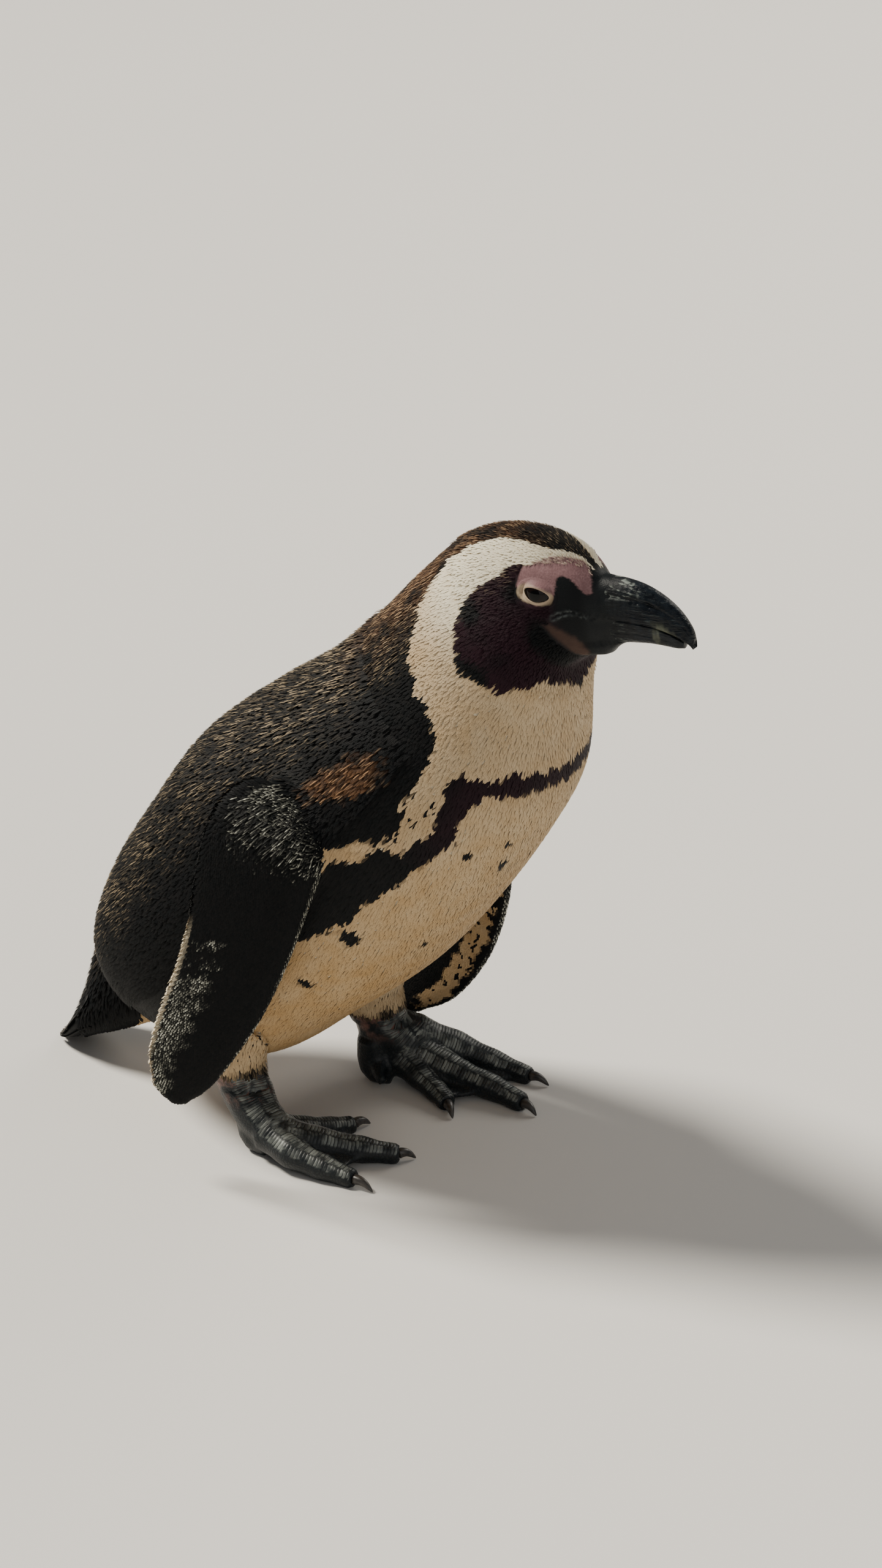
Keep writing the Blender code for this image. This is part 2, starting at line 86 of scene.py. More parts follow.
# A flipper from inside the shoulder to the tip: front half chord, rear half chord, thickness. Then each one's axis,
# the turn of its blades away from straight ahead, and its feathers' depth.
FLIPPER_OUTLINE = [
    (1.8, 2.1, 1.9),
    (2.6, 3.2, 2.3),
    (2.5, 3.25, 1.8),
    (2.3, 2.95, 1.35),
    (2.15, 2.65, 1.1),
    (1.9, 2.35, 0.95),
    (1.5, 1.95, 0.8),
    (0.95, 1.3, 0.6),
    (0.3, 0.35, 0.5),
]
FLIPPER_AXIS = {
    "right": [
        (4.2, -6.1, 21.3),
        (3.6, -7.8, 19.2),
        (3.0, -8.35, 16.5),
        (2.3, -8.6, 13.7),
        (1.2, -8.8, 10.8),
        (-0.1, -8.95, 8.1),
        (-1.2, -8.95, 5.9),
        (-1.85, -8.9, 4.65),
        (-2.2, -8.85, 3.95),
    ],
    "left": [
        (4.1, 6.0, 20.9),
        (4.0, 7.6, 18.7),
        (4.25, 8.0, 16.0),
        (4.4, 8.25, 13.2),
        (4.25, 8.35, 10.4),
        (3.5, 8.35, 7.5),
        (2.15, 8.2, 4.9),
        (0.85, 8.0, 3.45),
        (-0.15, 7.85, 2.6),
    ],
}
FLIPPER_TURN, FLIPPER_DEPTH = math.radians(14), 0.7 * MM

# The limbs that carry scutes. Each row is a point of a limb's axis and the radius there: x, y, z, radius.
SCUTED = {
    "left": {
        "tarsus": [(0.5, 5.2, 3.9, 1.5), (0.7, 5.3, 3.0, 1.5), (1.25, 5.6, 2.25, 1.4), (2.1, 5.8, 1.65, 1.2)],
        "outer": [(1.7, 6.2, 2.05, 1.15), (3.5, 7.45, 1.25, 0.9), (5.4, 8.1, 0.7, 0.66), (7.2, 8.45, 0.36, 0.5)],
        "middle": [(1.9, 5.5, 1.5, 1.05), (4.3, 5.85, 0.95, 0.8), (6.6, 6.0, 0.62, 0.66), (8.5, 5.85, 0.38, 0.52)],
        "inner": [(1.8, 5.1, 1.2, 0.9), (3.2, 4.7, 0.75, 0.64), (4.4, 4.3, 0.5, 0.55), (5.4, 3.8, 0.34, 0.46)],
    },
    "right": {
        "tarsus": [(-1.5, -4.15, 3.9, 1.35), (-1.0, -4.3, 2.9, 1.3), (-0.15, -4.6, 1.9, 1.15), (1.0, -4.8, 1.3, 1.05)],
        "outer": [(0.8, -5.0, 1.25, 0.95), (2.6, -5.5, 0.9, 0.78), (4.3, -5.4, 0.6, 0.64), (5.9, -5.2, 0.36, 0.5)],
        "middle": [(1.0, -4.8, 1.3, 0.95), (3.0, -3.9, 0.9, 0.78), (4.9, -2.9, 0.62, 0.66), (6.3, -2.0, 0.38, 0.52)],
        "inner": [(0.8, -4.5, 1.2, 0.9), (1.6, -3.0, 0.8, 0.66), (2.2, -1.8, 0.52, 0.56), (2.75, -0.7, 0.34, 0.46)],
    },
}

# The upper mandible: x, culmen z, tomium z, half width. The lower: x, gonys z, half width.
BILL_UPPER = [
    (16.50, 32.72, 31.00, 1.00),
    (17.45, 32.78, 31.03, 0.92),
    (18.50, 32.68, 31.02, 0.80),
    (19.55, 32.32, 30.92, 0.65),
    (20.40, 31.78, 30.70, 0.50),
    (21.00, 31.12, 30.38, 0.35),
    (21.22, 30.62, 30.10, 0.20),
    (21.26, 30.28, 29.98, 0.08),
]
BILL_LOWER = [
    (16.65, 29.45, 0.92),
    (17.60, 29.72, 0.82),
    (18.60, 29.86, 0.68),
    (19.60, 29.96, 0.52),
    (20.40, 30.04, 0.36),
    (20.85, 30.12, 0.18),
]
BILL_LEAN = 0.15

# The markings, as outlines of station along the spine and degrees round from the back (0) to the belly (180).
CROWN_AND_BACK = [
    (13.3, -9), (12.9, 14), (12.48, 9), (12.23, 9), (11.98, 11.5), (11.74, 16), (11.33, 21), (10.96, 22), (10.60, 20),
    (10.17, 18), (9.59, 20), (9.29, 22), (9.03, 24), (8.74, 27), (8.48, 32), (8.26, 36), (8.06, 42),
    (7.91, 48), (7.81, 53), (7.70, 58), (7.65, 65), (7.55, 73), (7.47, 81), (7.52, 87), (7.45, 92),
    (7.33, 100), (7.14, 103), (6.92, 104), (6.70, 106), (6.45, 106), (6.29, 105), (6.21, 109),
    (6.05, 111), (5.85, 111), (5.64, 106), (5.44, 101), (5.2, 98), (4.5, 96), (3.5, 97), (2.6, 101),
    (1.8, 112), (1.0, 126), (0.3, 140), (-0.6, 152), (-4.5, 165), (-4.5, -9),
]  # fmt: skip
CHEST_BAND = [
    (7.45, 190), (7.48, 166), (7.45, 151), (7.36, 140), (7.21, 135), (7.16, 129), (7.18, 122),
    (7.24, 119), (7.07, 119), (6.93, 117), (6.83, 117), (6.64, 120), (6.45, 121), (6.26, 122),
    (6.09, 121), (5.94, 120), (5.84, 117), (5.67, 111), (5.43, 109), (5.22, 105), (5.13, 103),
    (4.5, 102), (3.6, 101), (2.9, 100), (2.2, 108), (1.6, 118), (1.5, 126), (2.0, 124), (2.7, 118),
    (3.5, 115), (4.13, 116), (4.33, 119), (4.56, 122), (4.73, 123), (4.98, 123),
    (5.18, 124), (5.40, 126), (5.63, 126), (5.77, 128), (5.95, 129), (6.15, 131), (6.38, 132),
    (6.57, 129), (6.72, 130), (6.90, 132), (7.04, 135), (7.03, 142), (7.10, 151), (7.19, 159),
    (7.18, 170), (7.17, 190),
]  # fmt: skip
FACE_MASK = [
    (10.69, 44), (10.41, 43), (10.23, 45), (9.92, 53), (9.64, 55), (9.41, 57), (9.17, 59), (8.96, 62),
    (8.73, 67), (8.51, 73), (8.33, 81), (8.21, 88), (8.18, 94), (8.30, 99), (8.31, 104), (8.38, 111),
    (8.43, 117), (8.58, 122), (8.77, 129), (8.97, 136), (9.26, 141), (9.32, 147), (9.31, 157),
    (9.28, 166), (8.98, 177), (8.98, 190), (15, 190), (15, -9), (12.9, -9), (12.75, 9), (12.45, 12),
    (12.15, 15), (12.0, 18), (11.76, 23), (11.41, 29), (11.12, 36), (10.87, 42),
]  # fmt: skip
PINK_PATCH = [
    (10.69, 44), (10.87, 42), (11.12, 35), (11.41, 28), (11.76, 22), (12.0, 17), (12.20, 13), (12.45, 13),
    (12.66, 18), (12.80, 28), (12.90, 42), (12.75, 50), (12.59, 53), (12.39, 50), (12.12, 46), (11.89, 44),
    (11.77, 44), (11.62, 49), (11.57, 59), (11.51, 70), (11.38, 78), (11.10, 84), (10.87, 85),
    (10.70, 81), (10.53, 76), (10.45, 70), (10.44, 61), (10.55, 53), (10.65, 47),
]  # fmt: skip
CHIN_SKIN = [
    (10.85, 101), (11.22, 105), (11.62, 111), (12.02, 121), (12.27, 133), (12.5, 143), (12.2, 153),
    (11.92, 156), (11.78, 143), (11.56, 131), (11.38, 123), (11.12, 115),
]  # fmt: skip
# The pink's upper edge, where the brow's feathers begin.
PINK_TOP = [(10.69, 44), (10.87, 42), (11.12, 35), (11.41, 28), (11.76, 22), (12.0, 17), (12.2, 13), (12.5, 12)]
# The corner of the mouth, from the bill's base back into the cheek: station and degrees round.
GAPE = [(13.2, 93), (12.78, 92), (12.30, 89), (11.9, 90), (11.6, 93), (11.35, 97)]
# Belly spots: station, degrees round (the left side is positive), half length along and around in degrees.
SPOTS = [
    (4.51, -128, 0.09, 4.5),
    (3.66, -130, 0.05, 3.0),
    (6.10, -141, 0.05, 2.6),
    (6.27, -159, 0.05, 2.4),
    (5.86, -165, 0.07, 2.6),
    (4.60, -156, 0.03, 1.6),
    (5.30, 139, 0.06, 3.2),
    (4.20, 147, 0.05, 2.6),
    (3.30, 132, 0.07, 3.4),
    (6.05, 152, 0.04, 2.0),
    (4.95, 166, 0.03, 1.8),
]


# ---- numbers ----


def ramp(x, low, high):
    """0 below low, 1 above high and smooth between."""
    u = np.clip((np.asarray(x, float) - low) / (high - low), 0, 1)
    return u * u * (3 - 2 * u)


def power(value, exponent):
    return np.sign(value) * np.abs(value) ** exponent


def unit(vectors):
    vectors = np.asarray(vectors, float)
    return vectors / np.maximum(np.linalg.norm(vectors, axis=-1, keepdims=True), 1e-12)


def dot(a, b):
    return (a * b).sum(-1)


def through(rows, t):
    """The smooth curve through rows at each t, where the rows lie at 0, 1, 2 and so on."""
    rows = np.asarray(rows, float)
    t = np.asarray(t, float)
    i = np.clip(np.floor(t).astype(int), 0, len(rows) - 2)
    u = (t - i)[..., None]
    padded = np.vstack([2 * rows[0] - rows[1], rows, 2 * rows[-1] - rows[-2]])
    a, b, c, d = (padded[i + k] for k in range(4))
    cubic = (3 * (b - c) + d - a) * u**3
    return 0.5 * (2 * b + (c - a) * u + (2 * a - 5 * b + 4 * c - d) * u**2 + cubic)


def run_along(line):
    """How far along a line each of its places is."""
    return np.append(0, np.cumsum(np.linalg.norm(np.diff(line, axis=0), axis=1)))


def full_turn(count):
    """Angles once round a ring of so many places."""
    return np.linspace(0, 2 * math.pi, count, endpoint=False)


def hump(x, middle, width):
    """1 at the middle, falling away smoothly to both sides."""
    return np.exp(-(((x - middle) / width) ** 2))


def turned(points, share=1.0):
    """Points turned about the neck's upright pivot by a share of the head's yaw."""
    points = np.asarray(points, float)
    angle = HEAD_YAW * np.asarray(share)
    x, y = points[..., 0] - YAW_PIVOT_X, points[..., 1]
    out = points.copy()
    out[..., 0] = YAW_PIVOT_X + x * np.cos(angle) - y * np.sin(angle)
    out[..., 1] = x * np.sin(angle) + y * np.cos(angle)
    return out


def turned_way(way):
    """A direction turned by the head's yaw."""
    return turned(way) - turned(np.zeros(3))


def ripple(points, size, seed):
    """A smooth random wave over places, about -1 to 1, with bumps about size across."""
    rng = np.random.default_rng(seed)
    total = np.zeros(len(points))
    for _ in range(6):
        way = unit(rng.normal(size=3)) * rng.uniform(0.7, 1.5)
        total += np.sin(points @ way * (2 * math.pi / size) + rng.uniform(0, 7))
    return total / 2.6


def middle(node):
    """The middle of a node's box."""
    low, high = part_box(node)
    return np.array((low + high) / 2)


# From the tables' own zero to the frame's.
HOME = (middle("eye_left") + middle("eye_right")) / 2 - turned(np.array([EYE_X, 0, EYE_Z]) * CM)


# ---- places on the body ----


def spine():
    """Each station's centre, up, side and forward directions, in the frame."""
    rows = np.array(BODY)
    dorsal = np.stack([rows[:, 0], 0 * rows[:, 0], rows[:, 1]], 1) * CM
    ventral = np.stack([rows[:, 2], 0 * rows[:, 0], rows[:, 3]], 1) * CM
    share = ramp(np.arange(len(rows)), YAW_FROM, YAW_TO)
    up = unit(dorsal - ventral)
    forward = np.cross([0.0, 1.0, 0.0], up)
    pivot = np.array([YAW_PIVOT_X, 0, 0])
    side = turned(np.tile([0.0, 1.0, 0.0], (len(rows), 1)) + pivot, share) - pivot
    up, forward = turned(up + pivot, share) - pivot, turned(forward + pivot, share) - pivot
    return turned((dorsal + ventral) / 2, share) + HOME, up, side, forward


SPINE_CENTRE, SPINE_UP, SPINE_SIDE, SPINE_FORWARD = spine()
RUMP_STEP, BILL_STEP = 0.03, 0.015  # metres to a station beyond the two ends of the spine


def chart(points):
    """The station along the spine of each place, and its degrees round from the back, positive to the left."""
    points = np.asarray(points, float)
    ahead = np.einsum("pij,ij->pi", points[:, None] - SPINE_CENTRE[None], SPINE_FORWARD)
    t = np.full(len(points), np.nan)
    for i in range(len(BODY) - 1):
        here = np.isnan(t) & (ahead[:, i] >= 0) & (ahead[:, i + 1] < 0)
        t[here] = i + ahead[here, i] / (ahead[here, i] - ahead[here, i + 1])
    behind = np.isnan(t) & (ahead[:, 0] < 0)
    t[behind] = ahead[behind, 0] / RUMP_STEP
    beyond = np.isnan(t)
    t[beyond] = len(BODY) - 1 + ahead[beyond, -1] / BILL_STEP
    up, side, _, centre = spine_at(t)
    away = points - centre
    return t, np.degrees(np.arctan2(dot(away, side), dot(away, up)))


def spine_at(t):
    """Up, side, forward and centre of the spine at each station."""
    i = np.clip(np.floor(t).astype(int), 0, len(BODY) - 2)
    u = np.clip(t - i, 0, 1)[:, None]
    return [
        table[i] * (1 - u) + table[i + 1] * u for table in (SPINE_UP, SPINE_SIDE, SPINE_FORWARD, SPINE_CENTRE)
    ]


def eye_axes(side):
    """Out of an eye, forward along its lids and up across them."""
    out = unit(turned_way([0.22, SIDES[side], 0.10]))
    level = turned_way([math.cos(EYE_TILT), 0, -math.sin(EYE_TILT)])
    ahead = unit(level - out * dot(level, out))
    return out, ahead, np.cross(ahead, out) * SIDES[side]


def eye_middle(side):
    """The eyeball's middle, sunk and raised a little from the plain ball's."""
    out, ahead, up = eye_axes(side)
    return middle("eye_" + side) + (1.6 * up - 0.2 * ahead - 1.25 * out) * MM


def from_eye(side, places):
    """Each place's offset from an eye's middle, and how far that is ahead along its lids and up across them."""
    _, ahead, up = eye_axes(side)
    away = places - eye_middle(side)
    return away, dot(away, ahead), dot(away, up)


DEGREES_A_STATION = 30  # about as far round the body as one station is along it


def inside(outline, t, around):
    """How far each place is inside an outline, in stations; negative outside it."""
    edge = np.array(outline, float) / (1, DEGREES_A_STATION)
    place = np.stack([t, around / DEGREES_A_STATION], 1)
    start, end = edge, np.roll(edge, -1, 0)
    run = end - start
    away = place[:, None] - start
    share = np.clip(dot(away, run) / np.maximum(dot(run, run), 1e-12), 0, 1)
    nearest = np.linalg.norm(away - run * share[..., None], axis=-1).min(1)
    over = (start[:, 1] > place[:, None, 1]) != (end[:, 1] > place[:, None, 1])
    rise = np.where(run[:, 1] == 0, 1e-12, run[:, 1])
    crossing = start[:, 0] + (place[:, None, 1] - start[:, 1]) * run[:, 0] / rise
    within = (over & (place[:, None, 0] < crossing)).sum(1) % 2 == 1
    return np.where(within, nearest, -nearest)


def gape_distance(t, side):
    """How far each place on the chart is from the corner of the mouth's fold, in stations."""
    line = np.array(GAPE, float) / (1, DEGREES_A_STATION)
    place = np.stack([t, side / DEGREES_A_STATION], 1)
    away = np.full(len(place), 9.0)
    for a, b in zip(line, line[1:]):
        share = np.clip((place - a) @ (b - a) / ((b - a) @ (b - a)), 0, 1)
        away = np.minimum(away, np.linalg.norm(place - a - share[:, None] * (b - a), axis=1))
    return away


def markings(points, edge=0.03):
    """How black, russet, pink, tan, glinting and tinted the bird is at each place, from 0 to 1. The glints are painted
    highlights; the tint is partly the whites' cream and partly painted shade.
    """
    t, around = chart(points)
    side = np.abs(around)
    ragged = 0.03 * ripple(points, 9 * MM, 3) + 0.024 * ripple(points, 3.0 * MM, 4)
    ragged *= np.where(t > 9.5, 0.4, 1)
    skew = (around > 0) * ramp(t, 10.6, 11.4) * (1 - ramp(side, 30, 50))

    def cover(outline, soft=edge, shift=0):
        return ramp(inside(outline, t, side + shift * skew) + ragged, -soft, soft)

    mask = cover(FACE_MASK, shift=-5)
    band = cover(CHEST_BAND)
    black = np.maximum.reduce([cover(CROWN_AND_BACK, shift=6), band, mask])
    speckled = ripple(points, 3.4 * MM, 9) > 1.1
    near_band = (np.abs(t - 6.25) < 0.45) & (np.abs(side - 112) < 8)
    black = np.maximum(black, speckled & near_band)
    for station, degrees, long, wide in SPOTS:
        reach = np.hypot((t - station) / long, (around - degrees) / wide) + 0.2 * ragged / 0.035
        black = np.maximum(black, 1 - ramp(reach, 0.8, 1.2))
    pink = ramp(inside(PINK_PATCH, t, side - 5 * skew), -0.02, 0.02)
    tan = ramp(inside(CHIN_SKIN, t, side) + 2 * ragged, -0.09, 0.12)
    nape = (1 - ramp(side, 18, 62)) * ramp(t, 6.0, 7.6) * (1 - ramp(t, 9.6, 11.5))
    ahead, aside = (t - 6.02) / 0.9, (side - 83) / 16
    reach = np.hypot(ahead + aside, 2 * ahead - 1.8 * aside) + 0.22 * ripple(points, 7 * MM, 8)
    shoulder = 1 - ramp(reach, 0.75, 1.2)
    # Where pale streaks are painted on feather tips as highlights: over the back, stronger towards the mantle, and on
    # the russet shoulder patch.
    painted_glint = (1 - ramp(side, 38, 72)) * (0.6 + 0.4 * ramp(t, 3.5, 6))
    cheek = ramp(ripple(points, 30 * MM, 12) + 1.3 - np.abs(t - 9.7) * 0.7, 0.0, 0.9)
    # The whites are tinted tan, partly for their own cream and partly as painted shade, deeper towards the belly; the
    # upper side of the head and neck, where light falls, is left white as painted light.
    lit = ramp(t, 7.6, 9.2) * (1 - ramp(side, 58, 104))
    return {
        "black": black,
        "russet": np.clip(0.65 * nape + shoulder, 0, 1),
        "pink": pink,
        "tan": tan,
        "mask": np.maximum(
            mask * ramp(t, 8, 8.3) * (1 - ramp(t, 10.9, 11.9)) * cheek,
            # On the chest band's front the maroon is a painted sheen: black feathers taking a maroon-brown cast in
            # light.
            0.7 * band * ramp(side, 108, 128) * ramp(t, 5.5, 6.5),
        ),
        "painted_glint": np.clip(painted_glint + shoulder, 0, 1) * (1 - ramp(t, 12, 13)),
        "tint_and_shade": (0.76 + 0.19 * (1 - ramp(t, 3.2, 8.2))) * (1 - lit),
    }


# ---- meshes ----


def add_object(name, data, material=None):
    """An object in the scene; where a material is given, it is the mesh's only one."""
    thing = bpy.data.objects.new(name, data)
    bpy.context.scene.collection.objects.link(thing)
    if material:
        data.materials.clear()
        data.materials.append(material)
    return thing


def grid_quads(rows, size, closed=False):
    """The faces between neighbouring rows of places, each row of one size and open or closed on itself."""
    i, k = np.meshgrid(np.arange(rows - 1), np.arange(size if closed else size - 1), indexing="ij")
    n = (k + 1) % size
    return np.stack([i * size + k, i * size + n, (i + 1) * size + n, (i + 1) * size + k], -1).reshape(-1, 4)


def lofted(rings, name="loft"):
    """A closed skin through rings of equal count, with a fan of faces on each end."""
    rings = np.asarray(rings, float)
    count, size = rings.shape[:2]
    places = np.vstack([rings.reshape(-1, 3), rings[0].mean(0), rings[-1].mean(0)])
    quads = grid_quads(count, size, closed=True)
    k = np.arange(size)
    n = (k + 1) % size
    first = np.stack([np.full(size, count * size), n, k], 1)
    last = np.stack([np.full(size, count * size + 1), (count - 1) * size + k, (count - 1) * size + n], 1)
    mesh = bpy.data.meshes.new(name)
    mesh.from_pydata(places.tolist(), [], quads.tolist() + first.tolist() + last.tolist())
    work = bmesh.new()
    work.from_mesh(mesh)
    bmesh.ops.recalc_face_normals(work, faces=work.faces)
    work.to_mesh(mesh)
    work.free()
    mesh.shade_smooth()
    return mesh


def mesh_of(work, name):
    """Ends a bmesh as a mesh."""
    mesh = bpy.data.meshes.new(name)
    work.to_mesh(mesh)
    work.free()
    return mesh


def node_mesh(*nodes, grow=0.0):
    """Copies of CAD nodes in one mesh, each grown outwards."""
    work = bmesh.new()
    for node in nodes:
        part = bmesh.new()
        part.from_mesh(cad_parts[node].data)
        bmesh.ops.remove_doubles(part, verts=part.verts, dist=1e-6)
        bmesh.ops.recalc_face_normals(part, faces=part.faces)
        for vertex in part.verts:
            vertex.co += vertex.normal * grow
        work.from_mesh(mesh_of(part, node + "_copy"))
    return mesh_of(work, "copies")


def joined(meshes):
    """The meshes as one."""
    work = bmesh.new()
    for mesh in meshes:
        work.from_mesh(mesh)
    return mesh_of(work, "joined")


def softened(mesh, places, weight, rounds):
    """The places drawn towards their neighbours' middle, as far as their weight says."""
    edges = np.empty(len(mesh.edges) * 2, np.int32)
    mesh.edges.foreach_get("vertices", edges)
    a, b = edges.reshape(-1, 2).T
    ends, others = np.append(a, b), np.append(b, a)
    neighbours = np.bincount(ends, minlength=len(places))
    for _ in range(rounds):
        sums = np.stack([np.bincount(ends, places[others, k], len(places)) for k in range(3)], 1)
        places = places + (sums / neighbours[:, None] - places) * weight[:, None]
    return places


def worked(mesh, *modifiers):
    """The mesh after modifiers, each a type and its settings."""
    thing = add_object("work", mesh)
    for kind, settings in modifiers:
        modifier = thing.modifiers.new(kind, kind)
        for key, value in settings.items():
            setattr(modifier, key, value)
    graph = bpy.context.evaluated_depsgraph_get()
    result = bpy.data.meshes.new_from_object(thing.evaluated_get(graph))
    bpy.data.objects.remove(thing)
    result.shade_smooth()
    return result


def vectors_of(items, key):
    values = np.empty(len(items) * 3, np.float32)
    items.foreach_get(key, values)
    return values.reshape(-1, 3).astype(float)


def places_of(mesh):
    return vectors_of(mesh.vertices, "co")


def ups_of(mesh):
    return vectors_of(mesh.vertex_normals, "vector")


def move_places(mesh, places):
    mesh.vertices.foreach_set("co", np.asarray(places, np.float32).ravel())
    mesh.update()


def write_values(mesh, **values):
    """Stores a number, or a vector, for each vertex under a name."""
    for name, value in values.items():
        value = np.asarray(value, np.float32)
        kind, key = ("FLOAT_VECTOR", "vector") if value.ndim == 2 else ("FLOAT", "value")
        mesh.attributes.new(name, kind, "POINT").data.foreach_set(key, value.ravel())


class Form:
    """A mesh to measure on and to root feathers in."""

    def __init__(self, mesh):
        mesh.calc_loop_triangles()
        self.places, self.ups = places_of(mesh), ups_of(mesh)
        faces = np.empty(len(mesh.loop_triangles) * 3, np.int32)
        mesh.loop_triangles.foreach_get("vertices", faces)
        self.faces = faces.reshape(-1, 3)
        self.tree = BVHTree.FromPolygons(self.places.tolist(), self.faces.tolist())

    def nearest(self, points):
        """The form's nearest place to each point, and how far off it is."""
        found = [self.tree.find_nearest(point) for point in np.asarray(points).tolist()]
        return np.array([f[0] for f in found]), np.array([f[3] for f in found])

    def scattered(self, keep, spacing, seed):
        """Rooting places on the kept faces, none nearer to another than the spacing there."""
        corners = self.places[self.faces]
        areas = np.linalg.norm(np.cross(corners[:, 1] - corners[:, 0], corners[:, 2] - corners[:, 0]), axis=1) / 2
        gaps = spacing[self.faces].mean(1)
        chance = np.where(keep[self.faces].all(1), areas / gaps**2, 0)
        rng = np.random.default_rng(seed)
        tries = int(4.2 * chance.sum())
        face = rng.choice(len(areas), tries, p=chance / chance.sum())
        share = rng.random((tries, 2))
        share = np.where(share.sum(1, keepdims=True) > 1, 1 - share, share)
        share = np.column_stack([share, 1 - share.sum(1)])
        roots = (corners[face] * share[..., None]).sum(1)
        ups = unit((self.ups[self.faces[face]] * share[..., None]).sum(1))
        tree = KDTree(tries)
        for i, root in enumerate(roots.tolist()):
            tree.insert(root, i)
        tree.balance()
        taken, kept = bytearray(tries), []
        for i, (root, gap) in enumerate(zip(roots.tolist(), gaps[face].tolist())):
            if not taken[i]:
                kept.append(i)
                for _, other, _ in tree.find_range(root, gap):
                    taken[other] = 1
        return roots[kept], ups[kept]

    def midlines(self, roots, ways, lengths, shares):
        """Each feather's midline laid over the form from root to tip, as places and ups."""
        places = np.empty((len(roots), len(shares), 3))
        faces = np.empty((len(roots), len(shares)), int)
        find = self.tree.find_nearest
        steps = np.diff(shares).tolist()
        for i, (root, way, length) in enumerate(zip(roots, unit(ways), lengths)):
            here, way = Vector(root), Vector(way)
            places[i, 0] = here
            faces[i, 0] = find(here)[2]
            for k, step in enumerate(steps, 1):
                there, _, face, _ = find(here + way * (length * step))
                way = (there - here).normalized()
                here = there
                places[i, k] = here
                faces[i, k] = face
        return places, unit(self.ups[self.faces[faces]].mean(2))


BAKE_PATCH = 0.003  # how wide a feather's patch is on the bake map
# Where a feather's rows lie along it, and their shares of its width.
FEATHER_ROWS, FEATHER_OUTLINE = np.array([0, 0.43, 0.78, 1.0]), np.array([0.6, 1.0, 0.8, 0.0])


def write_bake_map(mesh, spots, corners):
    """Gives the mesh its bake map: a spot for each vertex, for each corner of its faces."""
    layer = mesh.uv_layers.new(name="OFBake")
    layer.uv.foreach_set("vector", spots[corners].astype(np.float32).ravel())


def feather_mesh(
    name, places, ups, widths, heights, cup, roots, marks, twist=None, outline=FEATHER_OUTLINE, shares=FEATHER_ROWS
):
    """One mesh of many feathers laid on midlines: three places across each row and one at the tip.

    heights is each row's height over the form, outline its share of the width, shares its place along.
    roots is each feather's place on the unwrapped skin, and marks its markings.
    """
    count, rows = places.shape[:2]
    ahead = unit(np.gradient(places, axis=1))
    across = unit(np.cross(ups, ahead))
    if twist is not None:
        across = unit(across + ups * np.tan(twist)[:, None, None])
    centre = places + ups * heights[..., None]
    wide = widths[:, None] * outline[None] / 2
    dip = ups * (cup[:, None] * wide)[..., None]
    body = np.stack([centre - across * wide[..., None] - dip, centre, centre + across * wide[..., None] - dip], 2)
    size = 3 * (rows - 1) + 1
    points = np.concatenate([body[:, :-1].reshape(count, -1, 3), centre[:, -1:]], 1)
    row = np.arange(rows - 2)[:, None] * 3
    quads = np.concatenate([row + [0, 1, 4, 3], row + [1, 2, 5, 4]]).reshape(-1, 4)
    last = 3 * (rows - 2)
    tips = np.array([[last, last + 1, size - 1], [last + 1, last + 2, size - 1]])
    start = (np.arange(count) * size)[:, None, None]
    quads = (start + quads[None]).reshape(-1, 4)
    tips = (start + tips[None]).reshape(-1, 3)
    corners = np.concatenate([quads.ravel(), tips.ravel()])
    mesh = bpy.data.meshes.new(name)
    mesh.vertices.add(count * size)
    mesh.vertices.foreach_set("co", points.astype(np.float32).ravel())
    mesh.loops.add(len(corners))
    mesh.loops.foreach_set("vertex_index", corners.astype(np.int32))
    mesh.polygons.add(len(quads) + len(tips))
    starts = np.concatenate([np.arange(len(quads)) * 4, len(quads) * 4 + np.arange(len(tips)) * 3])
    mesh.polygons.foreach_set("loop_start", starts.astype(np.int32))
    mesh.update(calc_edges=True)
    mesh.validate()
    mesh.shade_smooth()
    cross = np.append(np.tile([-1.0, 0.0, 1.0], rows - 1), 0.0)
    along = np.append(np.repeat(shares[:-1], 3), 1.0)
    luck = np.random.default_rng(len(name) + count).random(count)
    vane = np.stack([np.tile(cross, count), np.tile(along, count), np.repeat(luck, size)], 1)
    write_values(mesh, vane=vane)
    for key in FEATHER_MARKS:
        write_values(mesh, **{key: np.repeat(marks.get(key, np.zeros(count)), size)})
    patch = np.stack([cross, 2 * along - 1], 1) * BAKE_PATCH / 2
    spots = 0.01 + 0.98 * (roots - roots.min(0)) / np.maximum(np.ptp(roots, axis=0), 1e-9)
    write_bake_map(mesh, (spots[:, None] + patch[None]).reshape(-1, 2), corners)
    return mesh


# ---- materials ----


class Value:
    """A shader socket that does sums: an expression on values adds its Math nodes."""

    def __init__(self, paint, socket):
        self.paint, self.socket = paint, socket

    def sum(self, operation, *others):
        return self.paint.node("ShaderNodeMath", {"operation": operation}, dict(enumerate(others)))

    def __add__(self, other):
        return self.sum("ADD", self, other)

    def __sub__(self, other):
        return self.sum("SUBTRACT", self, other)

    def __rsub__(self, other):
        return self.sum("SUBTRACT", other, self)

    def __mul__(self, other):
        return self.sum("MULTIPLY", self, other)

    def __pow__(self, other):
        return self.sum("POWER", self, other)

    def __abs__(self):
        return self.sum("ABSOLUTE", self)

    __radd__, __rmul__ = __add__, __mul__

    def sine(self):
        return self.sum("SINE", self)

    def between(self, low, high):
        """0 below low, 1 above high and smooth between."""
        settings = {"interpolation_type": "SMOOTHSTEP", "clamp": True}
        return self.paint.node("ShaderNodeMapRange", settings, {"Value": self, "From Min": low, "From Max": high})


